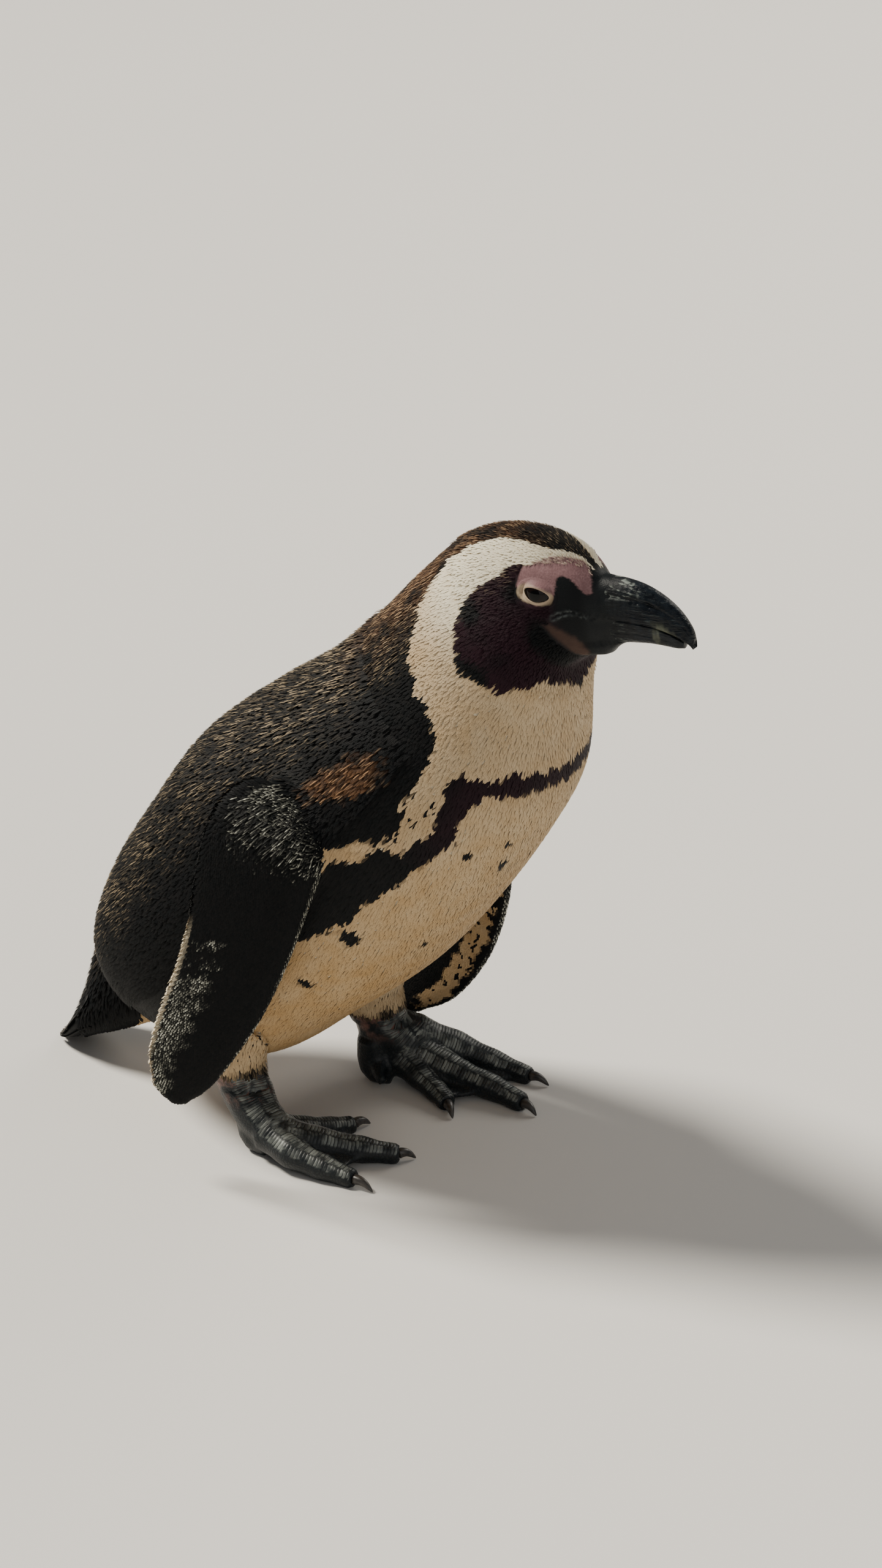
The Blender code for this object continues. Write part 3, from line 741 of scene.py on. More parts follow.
class Paint:
    """A material and the nodes that make it."""

    def __init__(self, name):
        self.material = bpy.data.materials.new(name)
        self.material.use_nodes = True
        self.tree = self.material.node_tree
        self.tree.nodes.clear()

    def node(self, kind, settings=None, inputs=None, out=0):
        """Adds a node: its settings first, then the values or links of its sockets."""
        made = self.tree.nodes.new(kind)
        for key, value in (settings or {}).items():
            setattr(made, key, value)
        for key, value in (inputs or {}).items():
            socket = made.inputs[key]
            if isinstance(value, Value):
                self.tree.links.new(value.socket, socket)
            elif value is not None:
                socket.default_value = (*value, 1) if socket.type == "RGBA" else value
        return Value(self, made.outputs[out]) if made.outputs else None

    def stored(self, name, vector=False):
        """A value stored on the mesh under a name."""
        return self.node("ShaderNodeAttribute", {"attribute_name": name}, out=1 if vector else 2)

    def parts(self, vector):
        """The three values of a vector."""
        return [self.node("ShaderNodeSeparateXYZ", inputs={0: vector}, out=k) for k in range(3)]

    def place(self):
        return self.node("ShaderNodeTexCoord", out=3)

    def stretched(self, *scale):
        """The place, scaled along each axis."""
        return self.node("ShaderNodeMapping", inputs={"Vector": self.place(), "Scale": scale})

    def noise(self, scale, detail=3.0, vector=None):
        inputs = {"Vector": vector or self.place(), "Scale": scale, "Detail": detail}
        return self.node("ShaderNodeTexNoise", inputs=inputs)

    def cracks(self, scale):
        """How far each place is from the nearest edge between cells."""
        settings = {"feature": "DISTANCE_TO_EDGE"}
        return self.node("ShaderNodeTexVoronoi", settings, {"Vector": self.place(), "Scale": scale})

    def mix(self, share, first, second):
        """From the first colour to the second."""
        settings = {"data_type": "RGBA", "clamp_factor": True}
        return self.node("ShaderNodeMix", settings, {0: share, 6: first, 7: second}, out=2)

    def bump(self, height, distance, strength=1.0, under=None):
        inputs = {"Height": height, "Distance": distance, "Strength": strength, "Normal": under}
        return self.node("ShaderNodeBump", inputs=inputs)

    def finish(self, colour, **inputs):
        """The surface; the other sockets go by their names with _ for a space."""
        named = {key.replace("_", " "): value for key, value in inputs.items()}
        shader = self.node("ShaderNodeBsdfPrincipled", inputs={"Base Color": colour, **named})
        self.node("ShaderNodeOutputMaterial", inputs={"Surface": shader})
        return self.material


# Feathers.
# The whites' tan tint is partly their cream and partly painted shade.
WHITE, SHADED_TAN, STRAW = (0.90, 0.84, 0.66), (0.42, 0.27, 0.125), (0.28, 0.18, 0.09)
BLACK, SOOT = (0.0010, 0.0020, 0.0028), (0.0042, 0.0042, 0.0046)
RUSSET, MAROON = (0.19, 0.088, 0.038), (0.022, 0.006, 0.012)
# The colours of the pale streaks and ticks painted on feather tips as highlights.
SANDY_HIGHLIGHT, RUST_HIGHLIGHT, SILVER_HIGHLIGHT = (0.48, 0.37, 0.23), (0.52, 0.28, 0.13), (0.90, 0.90, 0.76)
BRISTLE = (0.58, 0.44, 0.36)
# Bare skin.
PINK, DEEP_PINK, PALE_RING = (0.215, 0.125, 0.13), (0.155, 0.083, 0.088), (0.44, 0.35, 0.24)
BARE_TAN, ANKLE_PINK, LIP_HIGHLIGHT = (0.062, 0.034, 0.025), (0.16, 0.085, 0.07), (0.075, 0.085, 0.085)
SLATE, WEB_GREY, SCUTE_HIGHLIGHT = (0.006, 0.009, 0.011), (0.022, 0.027, 0.029), (0.27, 0.29, 0.265)
# Bill, claws and eyes.
HORN_BLACK, HORN_BLUE, HORN_FLESH = (0.0012, 0.0026, 0.0048), (0.006, 0.010, 0.015), (0.0045, 0.0062, 0.0076)
HORN_SCRATCH, HORN_BAND, HORN_GLINT = (0.12, 0.15, 0.15), (0.14, 0.15, 0.105), (0.15, 0.17, 0.155)
HORN_DULL = (0.0022, 0.0034, 0.0046)
CLAW_DARK, CLAW_GREY = (0.012, 0.011, 0.011), (0.06, 0.052, 0.045)
PUPIL, EYE_RIM = (0.0006, 0.0006, 0.0006), (0.0012, 0.001, 0.001)
IRIS_DARK, IRIS_BROWN = (0.0022, 0.0011, 0.0009), (0.0065, 0.0028, 0.002)
# Floor.
FLOOR_GREY, FLOOR_PALE = (0.62, 0.605, 0.58), (0.66, 0.645, 0.615)

FEATHER_MARKS = ("black", "russet", "mask", "painted_glint", "tint_and_shade", "pink")
BARE_MARKS = ("foot", "ring", "cuff", "lip", "horny")


def plumage(name="plumage", highlight_colour=SANDY_HIGHLIGHT, scaly=0.0):
    """Feather vanes: black or white webs with barbs, pale streaks painted on as highlights, and a rachis.

    scaly is how far the streaks give way to ticks at the tips, as on the small feathers of a flipper.
    """
    paint = Paint(name)
    across, along, luck = paint.parts(paint.stored("vane", vector=True))
    black, russet, mask, painted_glint, tint_and_shade, pink = (paint.stored(key) for key in FEATHER_MARKS)
    blotch = paint.noise(75.0, 3.0)
    barbs = ((along * 46 - abs(across) * 14 + luck * 20).sine() * 0.5 + 0.5) ** 2.0
    rachis = 1 - abs(across).between(0.05, 0.5)
    # The whites tinted to tan: partly their cream, partly painted shade.
    white = paint.mix(tint_and_shade + (blotch - 0.5) * 0.35, WHITE, SHADED_TAN)
    white = paint.mix((1 - along) * 0.22 + luck * 0.10 + barbs * 0.06, white, STRAW)
    # The streaks and the ticks are painted highlights on the feather tips.
    streak = (1 - abs(across).between(0.2, 0.6)) * along.between(0.46, 0.66)
    tick = along.between(0.76, 0.9) * (1 - abs(across).between(0.6, 1.0))
    shine = streak * (1 - scaly) + tick * scaly
    glint = shine * (luck.between(0.22, 0.9) * 0.9 + 0.1) * (blotch.between(0.36, 0.6) * 0.8 + 0.2) * painted_glint
    dark = paint.mix(luck, BLACK, SOOT)
    dark = paint.mix(russet * (0.25 + luck * 0.35) * blotch.between(0.3, 0.6), dark, RUSSET)
    dark = paint.mix(mask * (0.35 + blotch * 0.7), dark, MAROON)
    dark = paint.mix(glint, dark, paint.mix(russet * 0.8, highlight_colour, RUST_HIGHLIGHT))
    colour = paint.mix(black, white, dark)
    colour = paint.mix(pink, colour, paint.mix(luck, PINK, BRISTLE))
    bump = paint.bump(barbs * 0.4 + rachis * 0.6, 0.0002, 0.5)
    return paint.finish(colour, Roughness=0.66 - black * 0.1, Normal=bump, Specular_IOR_Level=0.11)


def skin_paint():
    """The skin: the coat's own markings under it, and bare where it is pink, tan or scaly."""
    paint = Paint("skin")
    black, russet, pink, tan, mask = (paint.stored(key) for key in ("black", "russet", "pink", "tan", "mask"))
    foot, ring, cuff, lip, horny = (paint.stored(key) for key in BARE_MARKS)
    fine, coarse = paint.noise(1100.0, 4.0), paint.noise(170.0, 3.0)
    white = paint.mix(coarse, WHITE, STRAW)
    dark = paint.mix(russet * 0.8, BLACK, RUSSET)
    dark = paint.mix(mask * 0.8, dark, MAROON)
    colour = paint.mix(black, white, dark)
    colour = paint.mix(tan * (0.55 + coarse * 0.45), colour, BARE_TAN)
    blush = paint.mix(fine.between(0.3, 0.7), PINK, DEEP_PINK)
    colour = paint.mix(pink, colour, paint.mix(coarse.between(0.35, 0.75) * 0.8, blush, DEEP_PINK))
    colour = paint.mix(ring * (0.6 + fine * 0.4), colour, PALE_RING)
    # A pale line along the mouth's fold, painted as its highlight.
    colour = paint.mix(lip * coarse.between(0.3, 0.6), colour, LIP_HIGHLIGHT)
    colour = paint.mix(horny * coarse.between(0.2, 0.5), colour, HORN_FLESH)
    plate = paint.cracks(560.0).between(0.0, 0.3)
    web = paint.mix(plate * coarse.between(0.3, 0.8), SLATE, WEB_GREY)
    web = paint.mix(cuff * coarse.between(0.4, 0.65), web, ANKLE_PINK)
    colour = paint.mix(foot, colour, web)
    bump = paint.bump(plate * foot, 0.0003, 0.6)
    bump = paint.bump(paint.cracks(900.0).between(0.0, 0.4), 0.00012, 0.3, bump)
    bump = paint.bump(fine * (1 - foot), 0.00014, 0.3, bump)
    bump = paint.bump(coarse * horny, 0.0006, 0.6, bump)
    return paint.finish(
        colour,
        Roughness=0.6 - foot * 0.12 - horny * 0.12,
        Normal=bump,
        Specular_IOR_Level=0.16,
        Coat_Weight=foot * 0.25,
        Coat_Roughness=0.3,
    )


def scute_paint():
    """Slate plates with pale rims painted on as highlights."""
    paint = Paint("foot_scute")
    across, along, luck = paint.parts(paint.stored("vane", vector=True))
    blotch = paint.noise(150.0, 3.0)
    # The raised part of each plate is painted pale as a highlight.
    rim = along.between(0.15, 0.45) * (1 - abs(across).between(0.55, 0.95))
    shade = paint.mix(luck, SLATE, WEB_GREY)
    colour = paint.mix(rim * (0.2 + luck * 0.6) * blotch.between(0.36, 0.62), shade, SCUTE_HIGHLIGHT)
    bump = paint.bump(paint.noise(900.0, 3.0), 0.0002, 0.5)
    return paint.finish(colour, Roughness=0.5 - rim * 0.1, Normal=bump, Specular_IOR_Level=0.35)


def bill_paint():
    """Blue-black horn with scratches, growth lines, a pale band, a dull base, and painted highlights: pale dashes on
    the top of the base and pale scratches strongest along the culmen's top.
    """
    paint = Paint("bill_horn")
    band, dull, edge, chipped = (paint.stored(key) for key in ("band", "dull", "edge", "chipped"))
    fine, coarse = paint.noise(1400.0, 3.0), paint.noise(260.0, 4.0)
    scratch = paint.noise(430.0, 3.0, vector=paint.stretched(0.3, 1.0, 2.4))
    colour = paint.mix(coarse.between(0.35, 0.8), HORN_BLACK, HORN_BLUE)
    # Pale scratches, real wear, painted stronger along the culmen's top as a highlight.
    colour = paint.mix(scratch.between(0.58, 0.74) * (0.2 + edge * 0.6), colour, HORN_SCRATCH)
    colour = paint.mix(band * (0.2 + coarse * 0.9), colour, HORN_BAND)
    colour = paint.mix(dull * 0.8, colour, HORN_DULL)
    # Pale dashes painted as highlights on the base's bumpy top.
    colour = paint.mix(chipped * scratch.between(0.52, 0.60) * coarse.between(0.35, 0.6), colour, HORN_GLINT)
    bump = paint.bump(coarse * 0.7 + scratch * 0.8, 0.0009, 0.75)
    bump = paint.bump(fine, 0.00014, 0.5, bump)
    roughness = 0.22 + coarse * 0.2 + dull * 0.26
    return paint.finish(colour, Roughness=roughness, Normal=bump, Specular_IOR_Level=0.19)


def eye_paint():
    """A wet dark eye: black pupil, deep brown iris and a darker rim."""
    paint = Paint("eye_wet")
    gaze = paint.stored("gaze")
    streaks = paint.noise(700.0, 2.0)
    iris = paint.mix(streaks, IRIS_DARK, IRIS_BROWN)
    colour = paint.mix(gaze.between(0.60, 0.70), iris, EYE_RIM)
    colour = paint.mix(gaze.between(0.31, 0.36), PUPIL, colour)
    return paint.finish(colour, Roughness=0.08, Specular_IOR_Level=0.16)


def claw_paint():
    """Dark horn with fine lengthwise growth lines."""
    paint = Paint("claw_horn")
    coarse = paint.noise(500.0, 3.0, vector=paint.stretched(0.4, 1.6, 1.0))
    colour = paint.mix(coarse.between(0.3, 0.75), CLAW_DARK, CLAW_GREY)
    bump = paint.bump(coarse, 0.0003, 0.5)
    return paint.finish(colour, Roughness=0.3 + coarse * 0.2, Normal=bump, Coat_Weight=0.2, Coat_Roughness=0.25)


def floor_paint():
    """A pale matt floor with a faint cloud and grain."""
    paint = Paint("pale_floor")
    cloud = paint.noise(1.4, 4.0)
    grain = paint.noise(240.0, 2.0)
    colour = paint.mix(cloud, FLOOR_GREY, FLOOR_PALE)
    return paint.finish(colour, Roughness=0.82 + grain * 0.08, Normal=paint.bump(grain, 0.0002, 0.3))


# ---- the skin ----


def coat_depth(t):
    """How far the skin lies under the feathers' tips at a station."""
    return (2.3 - 1.1 * ramp(t, 8.0, 9.6) - 0.3 * ramp(t, 11, 12.2) - 0.9 * ramp(t, 12.2, 12.9)) * MM


def sleek_depth(t):
    """The same where the feathers are pale and lie close."""
    return 0.38 * coat_depth(t)


def body_form():
    """The body inside its coat, from a little behind the rump to the bill's base."""
    stations = np.linspace(0, len(BODY) - 1, 110)
    angle = full_turn(144)
    rings = []
    for t, (dx, dz, vx, vz, half_width, widest, fullness) in zip(stations, through(BODY, stations)):
        dorsal, ventral = np.array([dx, 0, dz]) * CM, np.array([vx, 0, vz]) * CM
        up, half_height = unit(dorsal - ventral), np.linalg.norm(dorsal - ventral) / 2
        v, w = power(np.cos(angle), 2 / fullness), power(np.sin(angle), 2 / fullness)
        v = v + widest * (1 - v * v)
        depth = coat_depth(t)
        ring = (dorsal + ventral) / 2 + up * (v * (half_height - depth))[:, None]
        ring[:, 1] += w * (half_width * CM - depth)
        rings.append(turned(ring, ramp(t, YAW_FROM, YAW_TO)) + HOME)
    return lofted(rings, "body_form")


def tail_frame(t):
    """The tail's middle, its up direction and its half width and thickness at a step, thinning to the tips."""
    x, z, half_width, half_thick = through(TAIL, t)
    dx, dz = (through(TAIL, t) - through(TAIL, t - 0.2))[:2]
    thin = 1 - 0.72 * ramp(t, 2.2, 4.0)
    return np.array([x, 0, z]) * CM, unit([dz, 0, -dx]), half_width * CM, half_thick * CM * thin


def tail_form():
    """The tail inside its feathers."""
    rings = []
    angle = full_turn(64)
    for t in np.linspace(0, 3.45, 40):
        centre, up, half_width, half_thick = tail_frame(t)
        v, w = power(np.cos(angle), 0.9), power(np.sin(angle), 0.9)
        ring = centre + up * (v * (half_thick - 0.8 * MM))[:, None]
        ring[:, 1] += w * (half_width - 1.5 * MM)
        ring[:, 2] = np.maximum(ring[:, 2], 0.6 * MM)
        rings.append(ring + HOME)
    return lofted(rings, "tail_form")


def flipper_frame(side, t):
    """A flipper's centre, forward, out and down directions at steps t."""
    axis = FLIPPER_AXIS[side]
    centre = through(axis, t) * CM
    down = unit(through(axis, np.minimum(t + 0.25, 8)) - through(axis, np.maximum(t - 0.25, 0)))
    out = np.array([math.sin(FLIPPER_TURN), SIDES[side] * math.cos(FLIPPER_TURN), 0])
    out = unit(out - down * dot(out, down)[..., None])
    return centre, np.cross(down, out) * SIDES[side], out, down


def flipper_places(side, t, angle, depth):
    """Places on a flipper at steps t from shoulder to tip and angles round from the leading edge."""
    t, angle = np.broadcast_arrays(np.asarray(t, float), np.asarray(angle, float))
    centre, forward, out, _ = flipper_frame(side, t)
    front, rear, thick = np.moveaxis(through(FLIPPER_OUTLINE, np.minimum(t, 7)) * CM, -1, 0)
    rounding = np.sqrt(np.clip(1 - (np.maximum(t - 6.8, 0) / 1.28) ** 2, 0, 1))
    shoulder = np.sqrt(np.clip(1 - (np.maximum(0.8 - t, 0) / 0.9) ** 2, 0, 1))
    chord = np.cos(angle)
    reach = np.where(chord > 0, front, rear) * rounding * shoulder - depth
    blade = ((0.82 + 0.38 * chord) * (thick / 2) - depth * 0.8) * rounding**0.5 * shoulder
    return centre + forward * (reach * chord)[..., None] + out * (blade * np.sin(angle))[..., None] + HOME


def flipper_form(side):
    """A flipper inside its feathers."""
    angle = full_turn(72)
    return lofted([flipper_places(side, np.full(72, t), angle, FLIPPER_DEPTH) for t in np.linspace(0, 8, 90)])


NEAR = 4 * MM  # beyond this a place belongs to another part


def nearest_part(points, parts):
    """Which of several forms each point is nearest to."""
    off = np.full((len(points), len(parts)), 1.0)
    for k, form in enumerate(parts):
        low, high = form.places.min(0) - NEAR, form.places.max(0) + NEAR
        here = ((points > low) & (points < high)).all(1)
        off[here, k] = form.nearest(points[here])[1]
    return off.argmin(1)


def bill_collar(upper):
    """The skin that runs a little way over a mandible's base and thins out on the horn."""
    count, swell = (22, 0.09) if upper else (40, 0.10)
    rings = []
    for share, ring in zip(np.linspace(0, 1, count), bill_rings(upper)):
        heart = ring.mean(0)
        ring = heart + (ring - heart) * (1 + swell * (1 - 1.5 * share)) - turned_way((0.0025, 0, 0)) * (1 - share)
        if not upper:
            ring[:, 2] -= 1.3 * MM * (1 - share) ** 2
        rings.append(ring)
    return lofted(rings)


def folds(places, ups):
    """How far the corner of the mouth, the chin's wrinkles, the brow and the throat move the skin."""
    t, around = chart(places)
    side = np.abs(around)
    away = gape_distance(t, side)
    lip = 0.8 * hump(away, 0.085, 0.04) - 1.3 * hump(away, 0, 0.04)
    chin = np.clip(inside(CHIN_SKIN, t, side), 0, 0.15) / 0.15
    wrinkle = 0.16 * chin * np.sin((side / DEGREES_A_STATION - t * 0.4) * 46 + 2 * ripple(places, 9 * MM, 14))
    brow = 0.5 * hump(t, 11.0, 0.7) * hump(side, 47, 9)
    throat = 4.4 * hump(t, 12.6, 0.65) * ramp(side, 118, 162) * (places[:, 2] < 0.298 + HOME[2])
    return ups * ((0.7 * lip + wrinkle + brow) * MM)[:, None] + turned_way((0.8, 0, -0.55)) * (throat * MM)[:, None]


def lid_outline(angle):
    """The opening between the lids, round its angle: how far ahead and how far up."""
    return LID_LONG * np.cos(angle), LID_HIGH * np.sin(angle) * (1 - 0.12 * np.cos(angle) ** 2)


# Across a lid from inside the rim outwards, in millimetres: reach, lift, and the share that follows the skin.
LID_ROWS = [
    (-0.25, -0.35, 0),
    (0.0, 0.22, 0),
    (0.18, 0.5, 0),
    (0.5, 0.66, 0),
    (0.9, 0.66, 0.05),
    (1.3, 0.62, 0.2),
    (1.8, 0.5, 0.5),
    (2.4, 0.34, 0.8),
    (3.1, 0.18, 1),
    (3.8, -0.05, 1),
    (4.4, -0.5, 1),
]


def lid_mesh(form, side):
    """The lids of an eye: a soft rim over the eyeball, and folds that run out under the skin."""
    out, ahead, up = eye_axes(side)
    centre = eye_middle(side)
    angle = full_turn(96)
    x, y = lid_outline(angle)
    way = unit(np.stack([x / LID_LONG**2, y / LID_HIGH**2], 1))
    rows = []
    for reach, lift, share in LID_ROWS:
        px, py = x + way[:, 0] * reach * MM, y + way[:, 1] * reach * MM
        crease = 0.12 * MM * np.sin(reach * 5.5) * (share > 0)
        ball = np.sqrt(np.maximum(EYE_RADIUS**2 - px**2 - py**2, (0.35 * EYE_RADIUS) ** 2))
        flat = centre + ahead * px[:, None] + up * py[:, None]
        skin_height = np.array(
            [(form.tree.ray_cast(Vector(p + out * 0.02), Vector(-out))[0] - Vector(p)).dot(Vector(out)) for p in flat]
        )
        height = ball * (1 - share) + skin_height * share + lift * MM + crease
        rows.append(flat + out * height[:, None])
    rows = np.array(rows)
    quads = grid_quads(len(rows), len(angle), closed=True)
    if side == "right":
        quads = quads[:, ::-1]
    mesh = bpy.data.meshes.new("lids")
    mesh.from_pydata(rows.reshape(-1, 3).tolist(), [], quads.tolist())
    return mesh


def sunk_socket(places, side):
    """The skin drawn in under the lids, so that the eyeball shows between them."""
    away, x, y = from_eye(side, places)
    reach = np.hypot(x / (LID_LONG + 2.6 * MM), y / (LID_HIGH + 2.6 * MM))
    near = np.linalg.norm(away, axis=1) < 2.2 * EYE_RADIUS
    return places - eye_axes(side)[0] * ((1 - ramp(reach, 0.82, 1.0)) * near * 5 * MM)[:, None]


SKIN_VOXEL = 1.1 * MM
# The shapes that the skin is made of, in their order, and the lids joined on.
BODY_PART, TAIL_PART, RIGHT_FLIPPER, LEFT_FLIPPER, SHANKS, FEET, LIDS = range(7)


def make_skin(material):
    """One skin for body, tail, flippers, legs and feet, with the lids joined on."""
    shanks = node_mesh("shank_left", "shank_right", grow=-0.4 * MM)
    feet = node_mesh("foot_left", "foot_right", grow=0.1 * MM)
    shapes = [body_form(), tail_form(), flipper_form("right"), flipper_form("left"), shanks, feet]
    collar = [bill_collar(True), bill_collar(False)]
    remesh = {"mode": "VOXEL", "voxel_size": SKIN_VOXEL, "use_smooth_shade": True}
    mesh = worked(joined(shapes + collar), ("REMESH", remesh), ("SMOOTH", {"factor": 0.5, "iterations": 5}))
    places = places_of(mesh)
    joints = np.full(len(places), 1.0)
    for side in SIDES:
        centre = flipper_frame(side, np.array([0.5]))[0][0] + HOME
        joints = np.minimum(joints, np.linalg.norm(places - centre, axis=1))
    places = softened(mesh, places, 1 - ramp(joints, 0.026, 0.038), 60)
    places[:, 2] = np.maximum(places[:, 2], 0.0)
    move_places(mesh, places)
    places += folds(places, ups_of(mesh))
    move_places(mesh, places)
    form = Form(mesh)
    part = nearest_part(places, [Form(shape) for shape in shapes])
    lids = []
    for side in SIDES:
        lids.append(lid_mesh(form, side))
        places = sunk_socket(places, side)
    move_places(mesh, places)
    skin = add_object("skin", joined([mesh, *lids]), material)
    skin.data.shade_smooth()
    lid_count = len(skin.data.vertices) - len(places)
    return skin, form, part, np.append(part, np.full(lid_count, LIDS))


BARE_ANKLE = 0.041  # the height below which the legs are bare


def colour_skin(skin, part):
    """Stores the markings and the bare places on the skin."""
    places = places_of(skin.data)
    marks = markings(places)
    dark = (part == RIGHT_FLIPPER) | (part == LEFT_FLIPPER) | (part == TAIL_PART) | (part == SHANKS)
    marks["black"] = np.where(dark, 1.0, marks["black"])
    bare_ankle = (part == SHANKS) * (1 - ramp(places[:, 2], BARE_ANKLE, BARE_ANKLE + 2 * MM))
    foot = np.maximum((part == FEET) * 1.0, bare_ankle)
    for key in ("pink", "tan", "russet", "mask"):
        marks[key] = np.where((part == BODY_PART) | (part == LIDS), marks[key], 0)
    ring = np.zeros(len(places))
    for side in SIDES:
        away, x, y = from_eye(side, places)
        reach = np.hypot(x, y * LID_LONG / LID_HIGH) - LID_LONG
        near = (np.linalg.norm(away, axis=1) < 2 * EYE_RADIUS) & (part == LIDS)
        wide = (2.0 + 1.2 * ramp(-x, 0, 6 * MM) + 1.0 * ramp(-y, 0, 3 * MM)) * MM
        above = ramp(y, 0.5 * MM, 3 * MM)
        ring = np.where(near, (1 - ramp(reach / wide, 0.75 - 0.5 * above, 1.15)) * (1 - 0.35 * above), ring)
    cuff = ramp(places[:, 2], 0.022, 0.034)
    t, around = chart(places)
    # The line along the mouth's fold where a highlight is painted pale.
    lip = hump(gape_distance(t, np.abs(around)), 0.085, 0.03) * (part == BODY_PART)
    horny = ramp(t, 12.3, 12.9) * (1 - marks["pink"]) * (part == BODY_PART)
    write_values(skin.data, foot=foot, ring=ring, cuff=cuff, lip=lip, horny=horny, **marks)


# ---- the coat ----


def lie_of(points, ups):
    """The way feathers lie at each place on the body: from bill to tail."""
    t, _ = chart(points)
    forward = spine_at(t)[2]
    flow = -forward
    legs = np.array([0, 0, -1.0])
    share = ramp(-points[:, 2], -0.075, -0.045)[:, None]
    flow = flow * (1 - share) + legs * share
    flow = flow - ups * dot(flow, ups)[:, None]
    return unit(flow)


def shingled(depth):
    """Each row's height over the skin, rising from a little under it to the coat's depth at the tip."""
    rise = FEATHER_ROWS * (1.4 - 0.4 * FEATHER_ROWS)
    return depth[:, None] * rise[None] - (0.35 * depth)[:, None] * (1 - FEATHER_ROWS) ** 2


COAT_TRIANGLES = 200000  # fewer than these in each piece of the coat
COAT_SEED, SHOULDER_SEED, FLIPPER_SEED, TAIL_SEED, SCUTE_SEED = 11, 7, 41, 71, 81


def coat_object(name, mesh, material):
    """A piece of the coat, which has its allowance of triangles."""
    assert len(mesh.loops) - 2 * len(mesh.polygons) < COAT_TRIANGLES, name
    return add_object(name, mesh, material)


def unwrapped(name, roots, ups):
    """Where each feather's root lies on the skin laid flat: along and round the body, or along and round a limb."""
    t, around = chart(roots)
    left = roots[:, 1] > 0
    if name == "coat_legs":
        away = roots - np.where(left[:, None], middle("shank_left"), middle("shank_right"))
        return np.stack([np.arctan2(away[:, 1], away[:, 0]) + 7 * left, away[:, 2]], 1)
    if name == "coat_shoulders":
        outer = ups[:, 1] * np.where(left, 1, -1) > 0
        return np.stack([t + 6 * outer, around], 1)
    return np.stack([t, around], 1)


TOP_FEATHERS = 0.42  # the share of feathers that lie long and narrow on the rest


def body_coat(name, form, keep, spacing, length, width, depth, material, seed):
    """Feathers over part of the body. The sizes are functions of the station. Some lie long and narrow on the rest."""
    t, _ = chart(form.places)
    roots, ups = form.scattered(keep, spacing(t), seed)
    rng = np.random.default_rng(seed + 1)
    count = len(roots)
    t, _ = chart(roots)
    ways = lie_of(roots, ups)
    turn = rng.normal(0, 0.08, count)[:, None]
    ways = ways * np.cos(turn) + np.cross(ups, ways) * np.sin(turn)
    top = rng.random(count) < TOP_FEATHERS
    lengths = length(t) * rng.uniform(0.85, 1.15, count) * (1 + 0.3 * top)
    places, lifted = form.midlines(roots, ways, lengths, FEATHER_ROWS)
    marks = markings(places[:, -1], edge=0.012)
    if name == "coat_shoulders":
        # The shoulders' outer faces carry painted highlight ticks.
        marks["painted_glint"] = ramp(np.abs(places[:, -1, 1]) + 6 * MM * ripple(roots, 6 * MM, 6), 0.066, 0.078)
        marks["black"] = np.ones(count)
    if name == "coat_legs":
        dusky = ramp(BARE_ANKLE - places[:, -1, 2] + 2 * MM * ripple(places[:, -1], 9 * MM, 5), -2 * MM, 3 * MM)
        marks["black"] = np.maximum(marks["black"], dusky * rng.uniform(0.85, 1, count))
        # Faint painted highlight streaks on the dusky lower legs.
        marks["painted_glint"] = np.maximum(marks["painted_glint"], 0.35 * dusky)
        # The leg fluff is tinted like the belly, partly as painted shade.
        marks["tint_and_shade"] = np.full(count, 0.8)
    streaky = marks["painted_glint"] * marks["black"]
    # Only the feathers lying on top carry the painted highlight streaks in full.
    marks["painted_glint"] = marks["painted_glint"] * np.where(top, 1, 0.12)
    fluff = rng.uniform(0.93, 1.07, count) + top * (0.07 + 0.25 * streaky) + streaky * rng.uniform(-0.1, 0.15, count)
    mesh = feather_mesh(
        name,
        places,
        lifted,
        width(t) * rng.uniform(0.85, 1.15, count) * (1 - (0.2 + 0.25 * streaky) * top),
        shingled(depth(t) * fluff),
        0.07 + 0.15 * streaky,
        unwrapped(name, roots, ups),
        marks,
        twist=rng.normal(0, 0.05, count) * (0.6 + streaky),
    )
    coat = coat_object(name, mesh, material)
    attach(coat, "root")


FLIPPER_PITCH, FLIPPER_BARE = 1.25 * MM, 12 * MM  # between rows, and above the first row


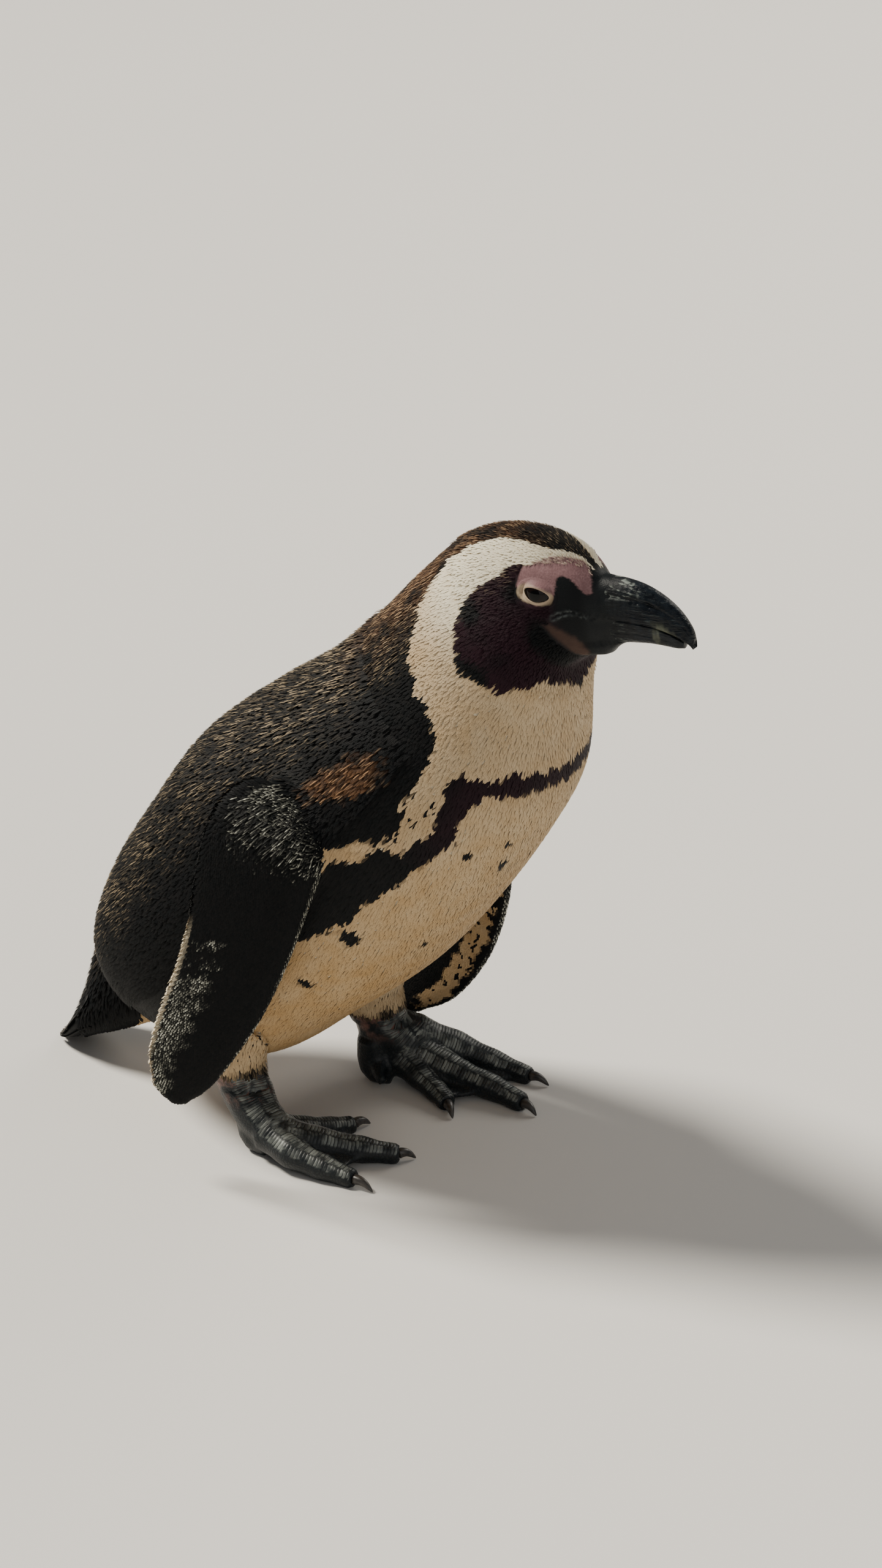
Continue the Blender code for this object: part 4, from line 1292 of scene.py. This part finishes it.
def flipper_coat(side, material):
    """Small scale-like feathers in staggered rows down both faces of a flipper."""
    form = Form(flipper_form(side))
    rows = np.linspace(0, 8, 400)
    run = run_along(flipper_places(side, rows, np.zeros(400), FLIPPER_DEPTH))
    steps = np.interp(np.arange(FLIPPER_BARE, run[-1], FLIPPER_PITCH), run, rows)
    fine = np.linspace(0, 2 * math.pi, 361)
    roots, angle, t = [], [], []
    for row, step in enumerate(steps):
        ring = flipper_places(side, np.full(361, step), fine, FLIPPER_DEPTH)
        girth = run_along(ring)
        count = max(int(girth[-1] / FLIPPER_PITCH), 8)
        at = np.interp((np.arange(count) + 0.5 * (row % 2)) / count * girth[-1], girth, fine)
        roots.append(flipper_places(side, np.full(count, step), at, FLIPPER_DEPTH))
        angle.append(at)
        t.append(np.full(count, step))
    roots, angle, t = map(np.concatenate, (roots, angle, t))
    rng = np.random.default_rng(FLIPPER_SEED + SIDES[side])
    count = len(roots)
    roots = roots + rng.normal(0, 0.1 * MM, roots.shape)
    _, forward, _, down = flipper_frame(side, t)
    chord = np.cos(angle)
    trailing = ramp(-chord, 0.86, 0.98)
    shoulder = 1 - ramp(t + 0.2 * ripple(roots, 6 * MM, 26), 0.85, 1.4)
    ways = down * (1 - 0.6 * shoulder)[:, None] - forward * (0.10 + 0.8 * trailing + 0.75 * shoulder)[:, None]
    lengths = (3.0 + 1.5 * trailing + 2.4 * shoulder) * MM * rng.uniform(0.9, 1.1, count)
    places, lifted = form.midlines(roots, ways, lengths, FEATHER_ROWS)
    stand = trailing * rng.uniform(0.2, 0.45, count) * lengths
    places += unit(ways - forward * 0.6)[:, None] * stand[:, None, None] * FEATHER_ROWS[None, :, None]
    inner = np.sin(angle) < -0.02
    mottle = 0.07 * ripple(roots, 11 * MM, 21) + 0.035 * ripple(roots, 4 * MM, 22)
    stripe = ramp(0.31 + mottle - np.abs(chord - 0.50), -0.05, 0.05) * ramp(t, 1.0, 1.8)
    stripe *= 1 - ramp(t + 3 * mottle, 6.9, 7.2)
    above = ramp(0.85 - np.abs(chord) + mottle, -0.05, 0.05) * (1 - ramp(t + 4 * mottle, 2.6, 3.3))
    specks = ramp(ripple(roots, 5.5 * MM, 23) + 0.4 * ripple(roots, 2.5 * MM, 24) + 0.5 * (t < 4.5), 0.8, 0.95)
    fringe = ramp(-chord, 0.90, 0.95) * ramp(t, 2.8, 3.6)
    black = 1 - np.clip(np.maximum(inner * np.maximum(stripe, above) * (1 - specks), fringe), 0, 1)
    patchy = 0.12 * ripple(roots, 14 * MM, 25) + 0.08 * ripple(roots, 4 * MM, 27)
    rear = ramp(-chord + patchy, 0.15, 0.6) * ramp(t + 4 * patchy, 3.6, 4.4) * ~inner
    # Painted highlights: silver ticks over the rear half of the outer face and on the shoulder, and a thin line along
    # the leading edge.
    lit = np.clip(rear + shoulder * ramp(chord + 0.7, 0, 0.4) * ~inner + ramp(chord, 0.96, 0.99), 0, 1)
    fluff = rng.uniform(0.75, 1.25, count) * (1 + 0.8 * shoulder + 0.5 * rear)
    # The inner face is tinted tan, partly as painted shade.
    tint_and_shade = 0.3 + 0.6 * (inner & (fringe < 0.5))
    mesh = feather_mesh(
        "coat_flipper_" + side,
        places,
        lifted,
        (1.6 - 0.3 * shoulder) * MM * rng.uniform(0.9, 1.1, count),
        shingled(FLIPPER_DEPTH * fluff),
        np.full(count, 0.3),
        np.stack([t, angle], 1),
        {"black": black, "painted_glint": lit, "tint_and_shade": tint_and_shade},
    )
    coat = coat_object("coat_flipper_" + side, mesh, material)
    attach(coat, "root")


# Each layer of tail feathers: under (-1) or over (1), how many, the step it starts at and its lift in millimetres.
TAIL_LAYERS = [(-1, 10, 1.5, 0.4), (1, 9, 1.0, 0.3), (1, 8, 0.8, 0.9)]


def tail_coat(material):
    """Long stiff feathers fanned over and under the tail's wedge."""
    rng = np.random.default_rng(TAIL_SEED)
    shares = np.linspace(0, 1, 14)
    lines, ups, aside = [], [], []
    for layer, (rise, count, start, lift) in enumerate(TAIL_LAYERS):
        for share in np.linspace(-0.94, 0.94, count):
            end = 4.0 - 0.42 * abs(share) ** 1.5 - 0.12 * (layer == 2) - rng.uniform(0, 0.06)
            line = []
            for t in start + (end - start) * shares:
                centre, up, half_width, half_thick = tail_frame(t)
                height = half_thick * math.sqrt(1 - (0.9 * share) ** 2) + (lift - 0.6) * MM
                place = centre + up * (rise * height)
                place[1] += share * (half_width - 2.0 * MM)
                place[2] = max(place[2], 0.9 * MM)
                line.append(place + HOME)
            lines.append(line)
            ups.append(unit(up * rise + np.array([0, 0.5 * share, 0])))
            aside.append((layer, share))
    one = np.ones(len(lines))
    mesh = feather_mesh(
        "coat_tail",
        np.array(lines),
        np.repeat(np.array(ups)[:, None], len(shares), 1),
        7.4 * MM * one,
        0.25 * MM * np.sin(math.pi * shares)[None] * one[:, None],
        0.16 * one,
        np.array(aside),
        {"black": one, "painted_glint": 0.1 * one},
        outline=np.append(np.sqrt(1 - shares[:-1] ** 2.4) * (1 - 0.42 * shares[:-1]), 0),
        shares=shares,
    )
    coat = coat_object("coat_tail", mesh, material)
    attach(coat, "root")


def steady(size):
    """A size in millimetres that is the same at every station."""
    return lambda t: np.full(np.shape(t), size * MM)


def shrinking(size, less, end):
    """A size in millimetres that falls from the cheek to a station."""
    return lambda t: (size - less * ramp(t, 9.3, end)) * MM


def bare_places(form, t, side):
    """Where no feathers root: on the pink, the lores, the chin, the mouth's corner and round the eyes."""
    fringe = np.interp(t, *zip(*PINK_TOP)) + 3 * ripple(form.places, 4 * MM, 19)
    fringe += 9 * ramp(t, 10.8, 11.3) * (1 - ramp(t, 12.2, 12.6))
    lores = (inside(FACE_MASK, t, side) > 0) & (t > 11.45 - 0.004 * np.abs(side - 70))
    bare = (inside(PINK_PATCH, t, side) > 0.02) & (side > fringe)
    bare |= lores & (side < 120) & (side > np.maximum(20, fringe))
    bare |= (inside(CHIN_SKIN, t, side) > 0) | ((t > 12) & (side > 100) & (side < 158))
    bare |= gape_distance(t, side) < 0.13
    for name in SIDES:
        away, x, y = from_eye(name, form.places)
        near = np.linalg.norm(away, axis=1) < 2 * EYE_RADIUS
        bare |= (np.hypot(x + 0.5 * MM, y * 1.45) < LID_LONG + 2.9 * MM) & near
    return bare


# Where the coat's pieces meet: stations, and degrees from the back. Then how far from its joint a shoulder's feathers
# go, and how far back the rump's go over the tail.
RUMP_TO, BACK_TO, MANTLE_TO, NECK_TO, HEAD_TO = 2.2, 4.6, 7, 9, 12.85
FLANK, JOINT_REACH, TAIL_START = 96, 34 * MM, -0.131


def make_coat(form, part, material):
    """The coat's pieces: each a stretch of the body, with its feathers' spacing, length, width and depth."""
    t, around = chart(form.places)
    side = np.abs(around)
    body, upper = part == BODY_PART, side < FLANK
    rump = (body & upper & (t < RUMP_TO)) | ((part == TAIL_PART) & (form.places[:, 0] > TAIL_START + HOME[0]))
    head = body & (t >= NECK_TO) & (t < HEAD_TO) & ~bare_places(form, t, side)
    legs = (part == SHANKS) & (form.places[:, 2] > BARE_ANKLE + 1 * MM * ripple(form.places, 8 * MM, 5))
    sockets = [flipper_frame(name, np.zeros(1))[0][0] + HOME for name in SIDES]
    joints = np.min([np.linalg.norm(form.places - socket, axis=1) for socket in sockets], axis=0) < JOINT_REACH
    joints &= (part == RIGHT_FLIPPER) | (part == LEFT_FLIPPER)
    dark = steady(1.22), steady(6.4), steady(1.9), coat_depth
    pale = steady(1.22), steady(5.8), steady(1.75), sleek_depth
    neck = steady(1.02), steady(5.2), steady(1.5), sleek_depth
    face = shrinking(0.92, 0.26, 12), shrinking(4.2, 2.3, 12.4), shrinking(1.35, 0.5, 12.4), coat_depth
    shank = steady(1.1), steady(4.0), steady(1.35), steady(1.0)
    stretches = [
        ("coat_mantle", body & upper & (t >= BACK_TO) & (t < MANTLE_TO), dark),
        ("coat_back", body & upper & (t >= RUMP_TO) & (t < BACK_TO), dark),
        ("coat_rump", rump, dark),
        ("coat_breast", body & ~upper & (t >= BACK_TO) & (t < MANTLE_TO), pale),
        ("coat_belly", body & ~upper & (t < BACK_TO), pale),
        ("coat_neck", body & (t >= MANTLE_TO) & (t < NECK_TO), neck),
        ("coat_head", head, face),
        ("coat_legs", legs, shank),
    ]
    for number, (name, keep, sizes) in enumerate(stretches):
        body_coat(name, form, keep, *sizes, material, seed=COAT_SEED + 3 * number)
    # The flippers' feathers, with silver ticks painted on as highlights.
    silver = plumage("flipper_plumage", SILVER_HIGHLIGHT, 0.6)
    body_coat("coat_shoulders", form, joints, *dark, silver, seed=SHOULDER_SEED)
    for name in SIDES:
        flipper_coat(name, silver)
    tail_coat(material)


# ---- bill, eyes, claws ----


def bill_rings(upper):
    """A mandible in fine rings: flat along the mouth line, arched to its ridge, with its plates and hook."""
    steps = np.linspace(0, (len(BILL_UPPER) if upper else len(BILL_LOWER)) - 1, 150)
    arch = np.linspace(0, math.pi, 81)
    mouth_x, _, mouth_z, _ = zip(*BILL_UPPER)
    rings = []
    for t in steps:
        share = t / steps[-1]
        if upper:
            x, ridge, edge, half_width = through(BILL_UPPER, t)
            edge += 0.015 + 0.10 * ramp(share, 0.84, 0.98)
            x -= 0.12 * ramp(share, 0.86, 1.0)
            half_width += 0.05 * ramp(share, 0.8, 0.95)
        else:
            x, ridge, half_width = through(BILL_LOWER, t)
            edge = np.interp(x + 0.15, mouth_x, mouth_z) - 0.03
            ridge -= 0.12 * ramp(share, 0.45, 0.9)
            half_width += 0.06 * ramp(share, 0.6, 0.9)
            x -= 0.12
        lean = BILL_LEAN * (1 - ramp(x, BILL_UPPER[0][0], 20.0))
        across = np.concatenate([power(np.cos(arch), 0.9), np.linspace(-1, 1, 13)[1:-1]])
        height = np.concatenate([np.sin(arch) ** 0.8, np.zeros(11)])
        flank = np.abs(across) * half_width
        carve = np.zeros(len(across))
        if upper:  # the groove between the culmen's plate and the side plate, with the nostril in it
            groove = 0.60 + 0.10 * share
            carve -= 0.055 * hump(height, groove, 0.07) * ramp(share, 0.0, 0.08) * (1 - ramp(share, 0.62, 0.85))
            carve -= 0.10 * hump(height, groove - 0.02, 0.06) * hump(share, 0.36, 0.055)
            carve += 0.03 * hump(height, 0.12, 0.10) * (1 - ramp(share, 0.75, 0.95))
        else:
            carve -= 0.035 * hump(height, 0.45, 0.08) * ramp(share, 0.05, 0.15) * (1 - ramp(share, 0.7, 0.9))
        ridges = 0.004 * np.sin(x * 26 + 2.5 * height) * (1 - ramp(share, 0.25, 0.5))
        flank = np.maximum(flank + (carve + ridges) * (flank > 0.03) * (height > 0.01), 0)
        z = edge + (ridge - edge) * height
        ring = np.stack([x + lean * (BILL_UPPER[0][1] - z), np.sign(across) * flank, z], 1) * CM
        rings.append(turned(ring) + HOME)
    return rings


def make_bill(material):
    """The two mandibles in fine horn."""
    for name in ("bill_upper", "bill_lower"):
        upper = name == "bill_upper"
        mesh = lofted(bill_rings(upper), name + "_horn")
        low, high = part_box(name)
        places = places_of(mesh)
        share = (places[:, 0] - low.x) / (high.x - low.x)
        height = (places[:, 2] - low.z) / (high.z - low.z)
        wave = 0.02 * ripple(places, 3 * MM, 31)
        if upper:
            slant = np.abs(share + wave - 0.70 + 0.55 * (height - 0.35))
            band = (1 - ramp(slant, 0.0, 0.11)) * (1 - ramp(height, 0.30, 0.50))
        else:
            band = (1 - ramp(np.abs(share + wave - 0.70), 0.0, 0.055)) * 0.6
        # The culmen's top, where the pale scratches are painted stronger as a highlight.
        edge = ramp(height, 0.88, 1.0) * ramp(share, 0.15, 0.4) if upper else 0 * share
        # Where pale dashes are painted as highlights: the upper mandible's top near the base, and faintly the lower's
        # base.
        chipped = (ramp(height, 0.66, 0.84) if upper else 0.3) * (1 - ramp(share + 2 * wave, 0.28, 0.5))
        write_values(mesh, band=band, dull=1 - ramp(share + 2 * wave, 0.14, 0.46), edge=edge, chipped=chipped)
        bill = add_object(name + "_horn", mesh, material)
        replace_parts(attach(bill, "root"), name)


def make_eyes(material):
    """The eyeballs, each with its gaze stored as the angle from straight out."""
    for side in SIDES:
        centre = eye_middle(side)
        out, ahead, up = eye_axes(side)
        work = bmesh.new()
        bmesh.ops.create_icosphere(work, subdivisions=5, radius=EYE_RADIUS)
        mesh = mesh_of(work, "eyeball_" + side)
        places = places_of(mesh)
        gaze = np.arccos(np.clip(unit(places) @ out, -1, 1))
        hidden = ramp(np.hypot(places @ ahead / LID_LONG, places @ up / LID_HIGH), 1.12, 1.6)
        places = places * (1 + 0.03 * (1 - ramp(gaze, 0.35, 0.75)))[:, None] - out * (2 * MM * hidden)[:, None]
        move_places(mesh, places + centre)
        mesh.shade_smooth()
        write_values(mesh, gaze=gaze)
        eye = add_object("eyeball_" + side, mesh, material)
        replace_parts(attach(eye, "root"), "eye_" + side)


def make_claws(material):
    """The claws, smoothed."""
    for side in SIDES:
        for toe in ("inner", "middle", "outer"):
            name = f"claw_{side}_{toe}"
            smooth = ("SUBSURF", {"levels": 2, "render_levels": 2})
            mesh = worked(node_mesh(name), smooth)
            claw = add_object(name + "_horn", mesh, material)
            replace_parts(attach(claw, "root"), name)


SCUTE_PITCH, SCUTE_WIDE = 0.17, 6  # centimetres from plate to plate, and places across one
# Each column of plates across a toe: how far on it starts, and its span round the toe in degrees.
SCUTE_COLUMNS = [(0.0, -28, 28), (0.45, 23, 72), (0.55, -72, -23)]
# Each row of a plate: its place along the plate and its height in millimetres.
SCUTE_ROWS = [(-0.52, -0.12), (-0.32, 0.16), (0.2, 0.26), (0.5, 0.02)]


def scute_plate(points, fine, run, start, spread, ankle):
    """One plate's rows of places on a limb's axis, and their heights in millimetres."""
    places, heights = [], []
    arch = np.sin(np.linspace(0, math.pi, len(spread)))
    for step, height in SCUTE_ROWS:
        t = np.interp(start + step * SCUTE_PITCH, run, fine)
        x, y, z, radius = through(points, t)
        ahead = unit((through(points, t + 0.05) - through(points, t - 0.05))[:3])
        across = unit(np.cross([0.5, 0, 1.0] if ankle else [0, 0, 1.0], ahead))
        ring = np.cross(ahead, across) * np.cos(spread)[:, None] + across * np.sin(spread)[:, None]
        ring = np.array([x, y, z]) + ring * radius + ahead * (0.2 * SCUTE_PITCH * arch)[:, None]
        places.append(ring * CM + HOME)
        heights.append(height * (0.2 + 0.8 * arch))
    return np.array(places), np.array(heights)


def make_scutes(form, material):
    """The scutes: small plates three abreast across the tops of the toes and down the front of each ankle."""
    rng = np.random.default_rng(SCUTE_SEED)
    places, heights, values = [], [], []
    for foot, limbs in enumerate(SCUTED.values()):
        for toe, (limb, points) in enumerate(limbs.items()):
            ankle = limb == "tarsus"
            fine = np.linspace(0, len(points) - 1, 60)
            run = run_along(through(points, fine)[:, :3])
            for row, at in enumerate(np.arange(0.25 if ankle else 0.1, run[-1] - 0.05, SCUTE_PITCH)):
                for shift, first, last in SCUTE_COLUMNS:
                    spread = np.radians(np.linspace(first, last, SCUTE_WIDE) + rng.normal(0, 2.5))
                    start = at + (shift + rng.normal(0, 0.07)) * SCUTE_PITCH
                    plate, height = scute_plate(points, fine, run, start, spread, ankle)
                    places.append(plate)
                    heights.append(height * rng.uniform(0.7, 1.3))
                    values.append((row, foot * 16 + toe * 4 + first / 40, rng.random()))
    values, heights = np.array(values), np.array(heights) * MM
    found = [form.tree.find_nearest(place) for place in np.array(places).reshape(-1, 3).tolist()]
    ups = unit(form.ups[form.faces[[f[2] for f in found]]].mean(1))
    flat = np.array([f[0] for f in found]) + ups * heights.reshape(-1, 1)
    count, long, wide = heights.shape
    quads = ((np.arange(count) * long * wide)[:, None, None] + grid_quads(long, wide)[None]).reshape(-1, 4)
    mesh = bpy.data.meshes.new("coat_scutes")
    mesh.from_pydata(flat.tolist(), [], quads.tolist())
    mesh.shade_smooth()
    along, across = np.meshgrid(np.linspace(0, 1, long), np.linspace(-1, 1, wide), indexing="ij")
    local = np.stack([across.ravel(), along.ravel()], 1)
    vane = np.column_stack([np.tile(local, (count, 1)), np.repeat(values[:, 2], long * wide)])
    write_values(mesh, vane=vane)
    spots = values[:, :2] - values[:, :2].min(0)
    spots = 0.02 + 0.96 * spots / spots.max(0)
    patch = (local * (0.5, 1) - (0, 0.5)) * BAKE_PATCH
    write_bake_map(mesh, (spots[:, None] + patch[None]).reshape(-1, 2), quads.ravel())
    coat = coat_object("coat_scutes", mesh, material)
    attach(coat, "root")


# ---- the studio ----


CAMERA_ROUND, CAMERA_UP, CAMERA_AWAY = math.radians(34), math.radians(25), 2.5
CAMERA_AIM, CAMERA_LENS = (0.07607, 0, 0.19944), 120.757
FLOOR_REACH = 150
# Each soft light: its place, size, watts and colour.
SOFT_LIGHTS = {
    "rim": ((0.5, 2.1, 1.5), 1.2, 20, (1.0, 0.95, 0.86)),
    "fill": ((2.0, -1.4, 1.3), 2.0, 11, (1.0, 0.97, 0.92)),
}
LIT_PLACE, KEY_WAY = (0, 0, 0.17), (1.5, 0.3, -2.0)
KEY_STRENGTH, KEY_SPREAD, KEY_COLOUR = 6.4, 0.30, (1.0, 0.94, 0.83)
ROOM_STRENGTH, ROOM_COLOUR = 0.22, (0.85, 0.86, 0.88, 1)


def facing(way):
    """The turn that points a camera or a light along a direction."""
    return Vector(way).to_track_quat("-Z", "Y").to_euler()


def make_studio():
    """The camera, the floor, two soft lights, a broad key from behind and above, and the room's own light."""
    camera = add_object("camera", bpy.data.cameras.new("camera"))
    bpy.context.scene.camera = camera
    flat = math.cos(CAMERA_UP)
    back = Vector((math.sin(CAMERA_ROUND) * flat, -math.cos(CAMERA_ROUND) * flat, math.sin(CAMERA_UP)))
    camera.location = Vector(CAMERA_AIM) + Vector(HOME) + back * CAMERA_AWAY
    camera.rotation_euler = facing(-back)
    camera.data.lens, camera.data.sensor_width, camera.data.clip_end = CAMERA_LENS, 36, 400
    work = bmesh.new()
    bmesh.ops.create_grid(work, x_segments=40, y_segments=40, size=FLOOR_REACH)
    add_object("floor", mesh_of(work, "floor"), floor_paint())
    for name, (place, size, watts, colour) in SOFT_LIGHTS.items():
        light = add_object(name, bpy.data.lights.new(name, "AREA"))
        light.data.energy, light.data.size, light.data.color = watts, size, colour
        light.location = place
        light.rotation_euler = facing(Vector(LIT_PLACE) - Vector(place))
    light = add_object("key", bpy.data.lights.new("key", "SUN"))
    light.data.energy, light.data.angle, light.data.color = KEY_STRENGTH, KEY_SPREAD, KEY_COLOUR
    light.rotation_euler = facing(KEY_WAY)
    world = bpy.data.worlds.new("studio")
    bpy.context.scene.world = world
    world.use_nodes = True
    room = world.node_tree.nodes["Background"].inputs
    room["Color"].default_value, room["Strength"].default_value = ROOM_COLOUR, ROOM_STRENGTH


FLESH = ["head", "neck", "trunk", "tail"] + [
    f"{part}_{side}" for part in ("flipper", "shank", "foot") for side in ("left", "right")
]

skin, form, part, skin_part = make_skin(skin_paint())
colour_skin(skin, skin_part)
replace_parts(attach(skin, "root"), *FLESH)
make_coat(form, part, plumage())
make_scutes(form, scute_paint())
make_bill(bill_paint())
make_eyes(eye_paint())
make_claws(claw_paint())
make_studio()
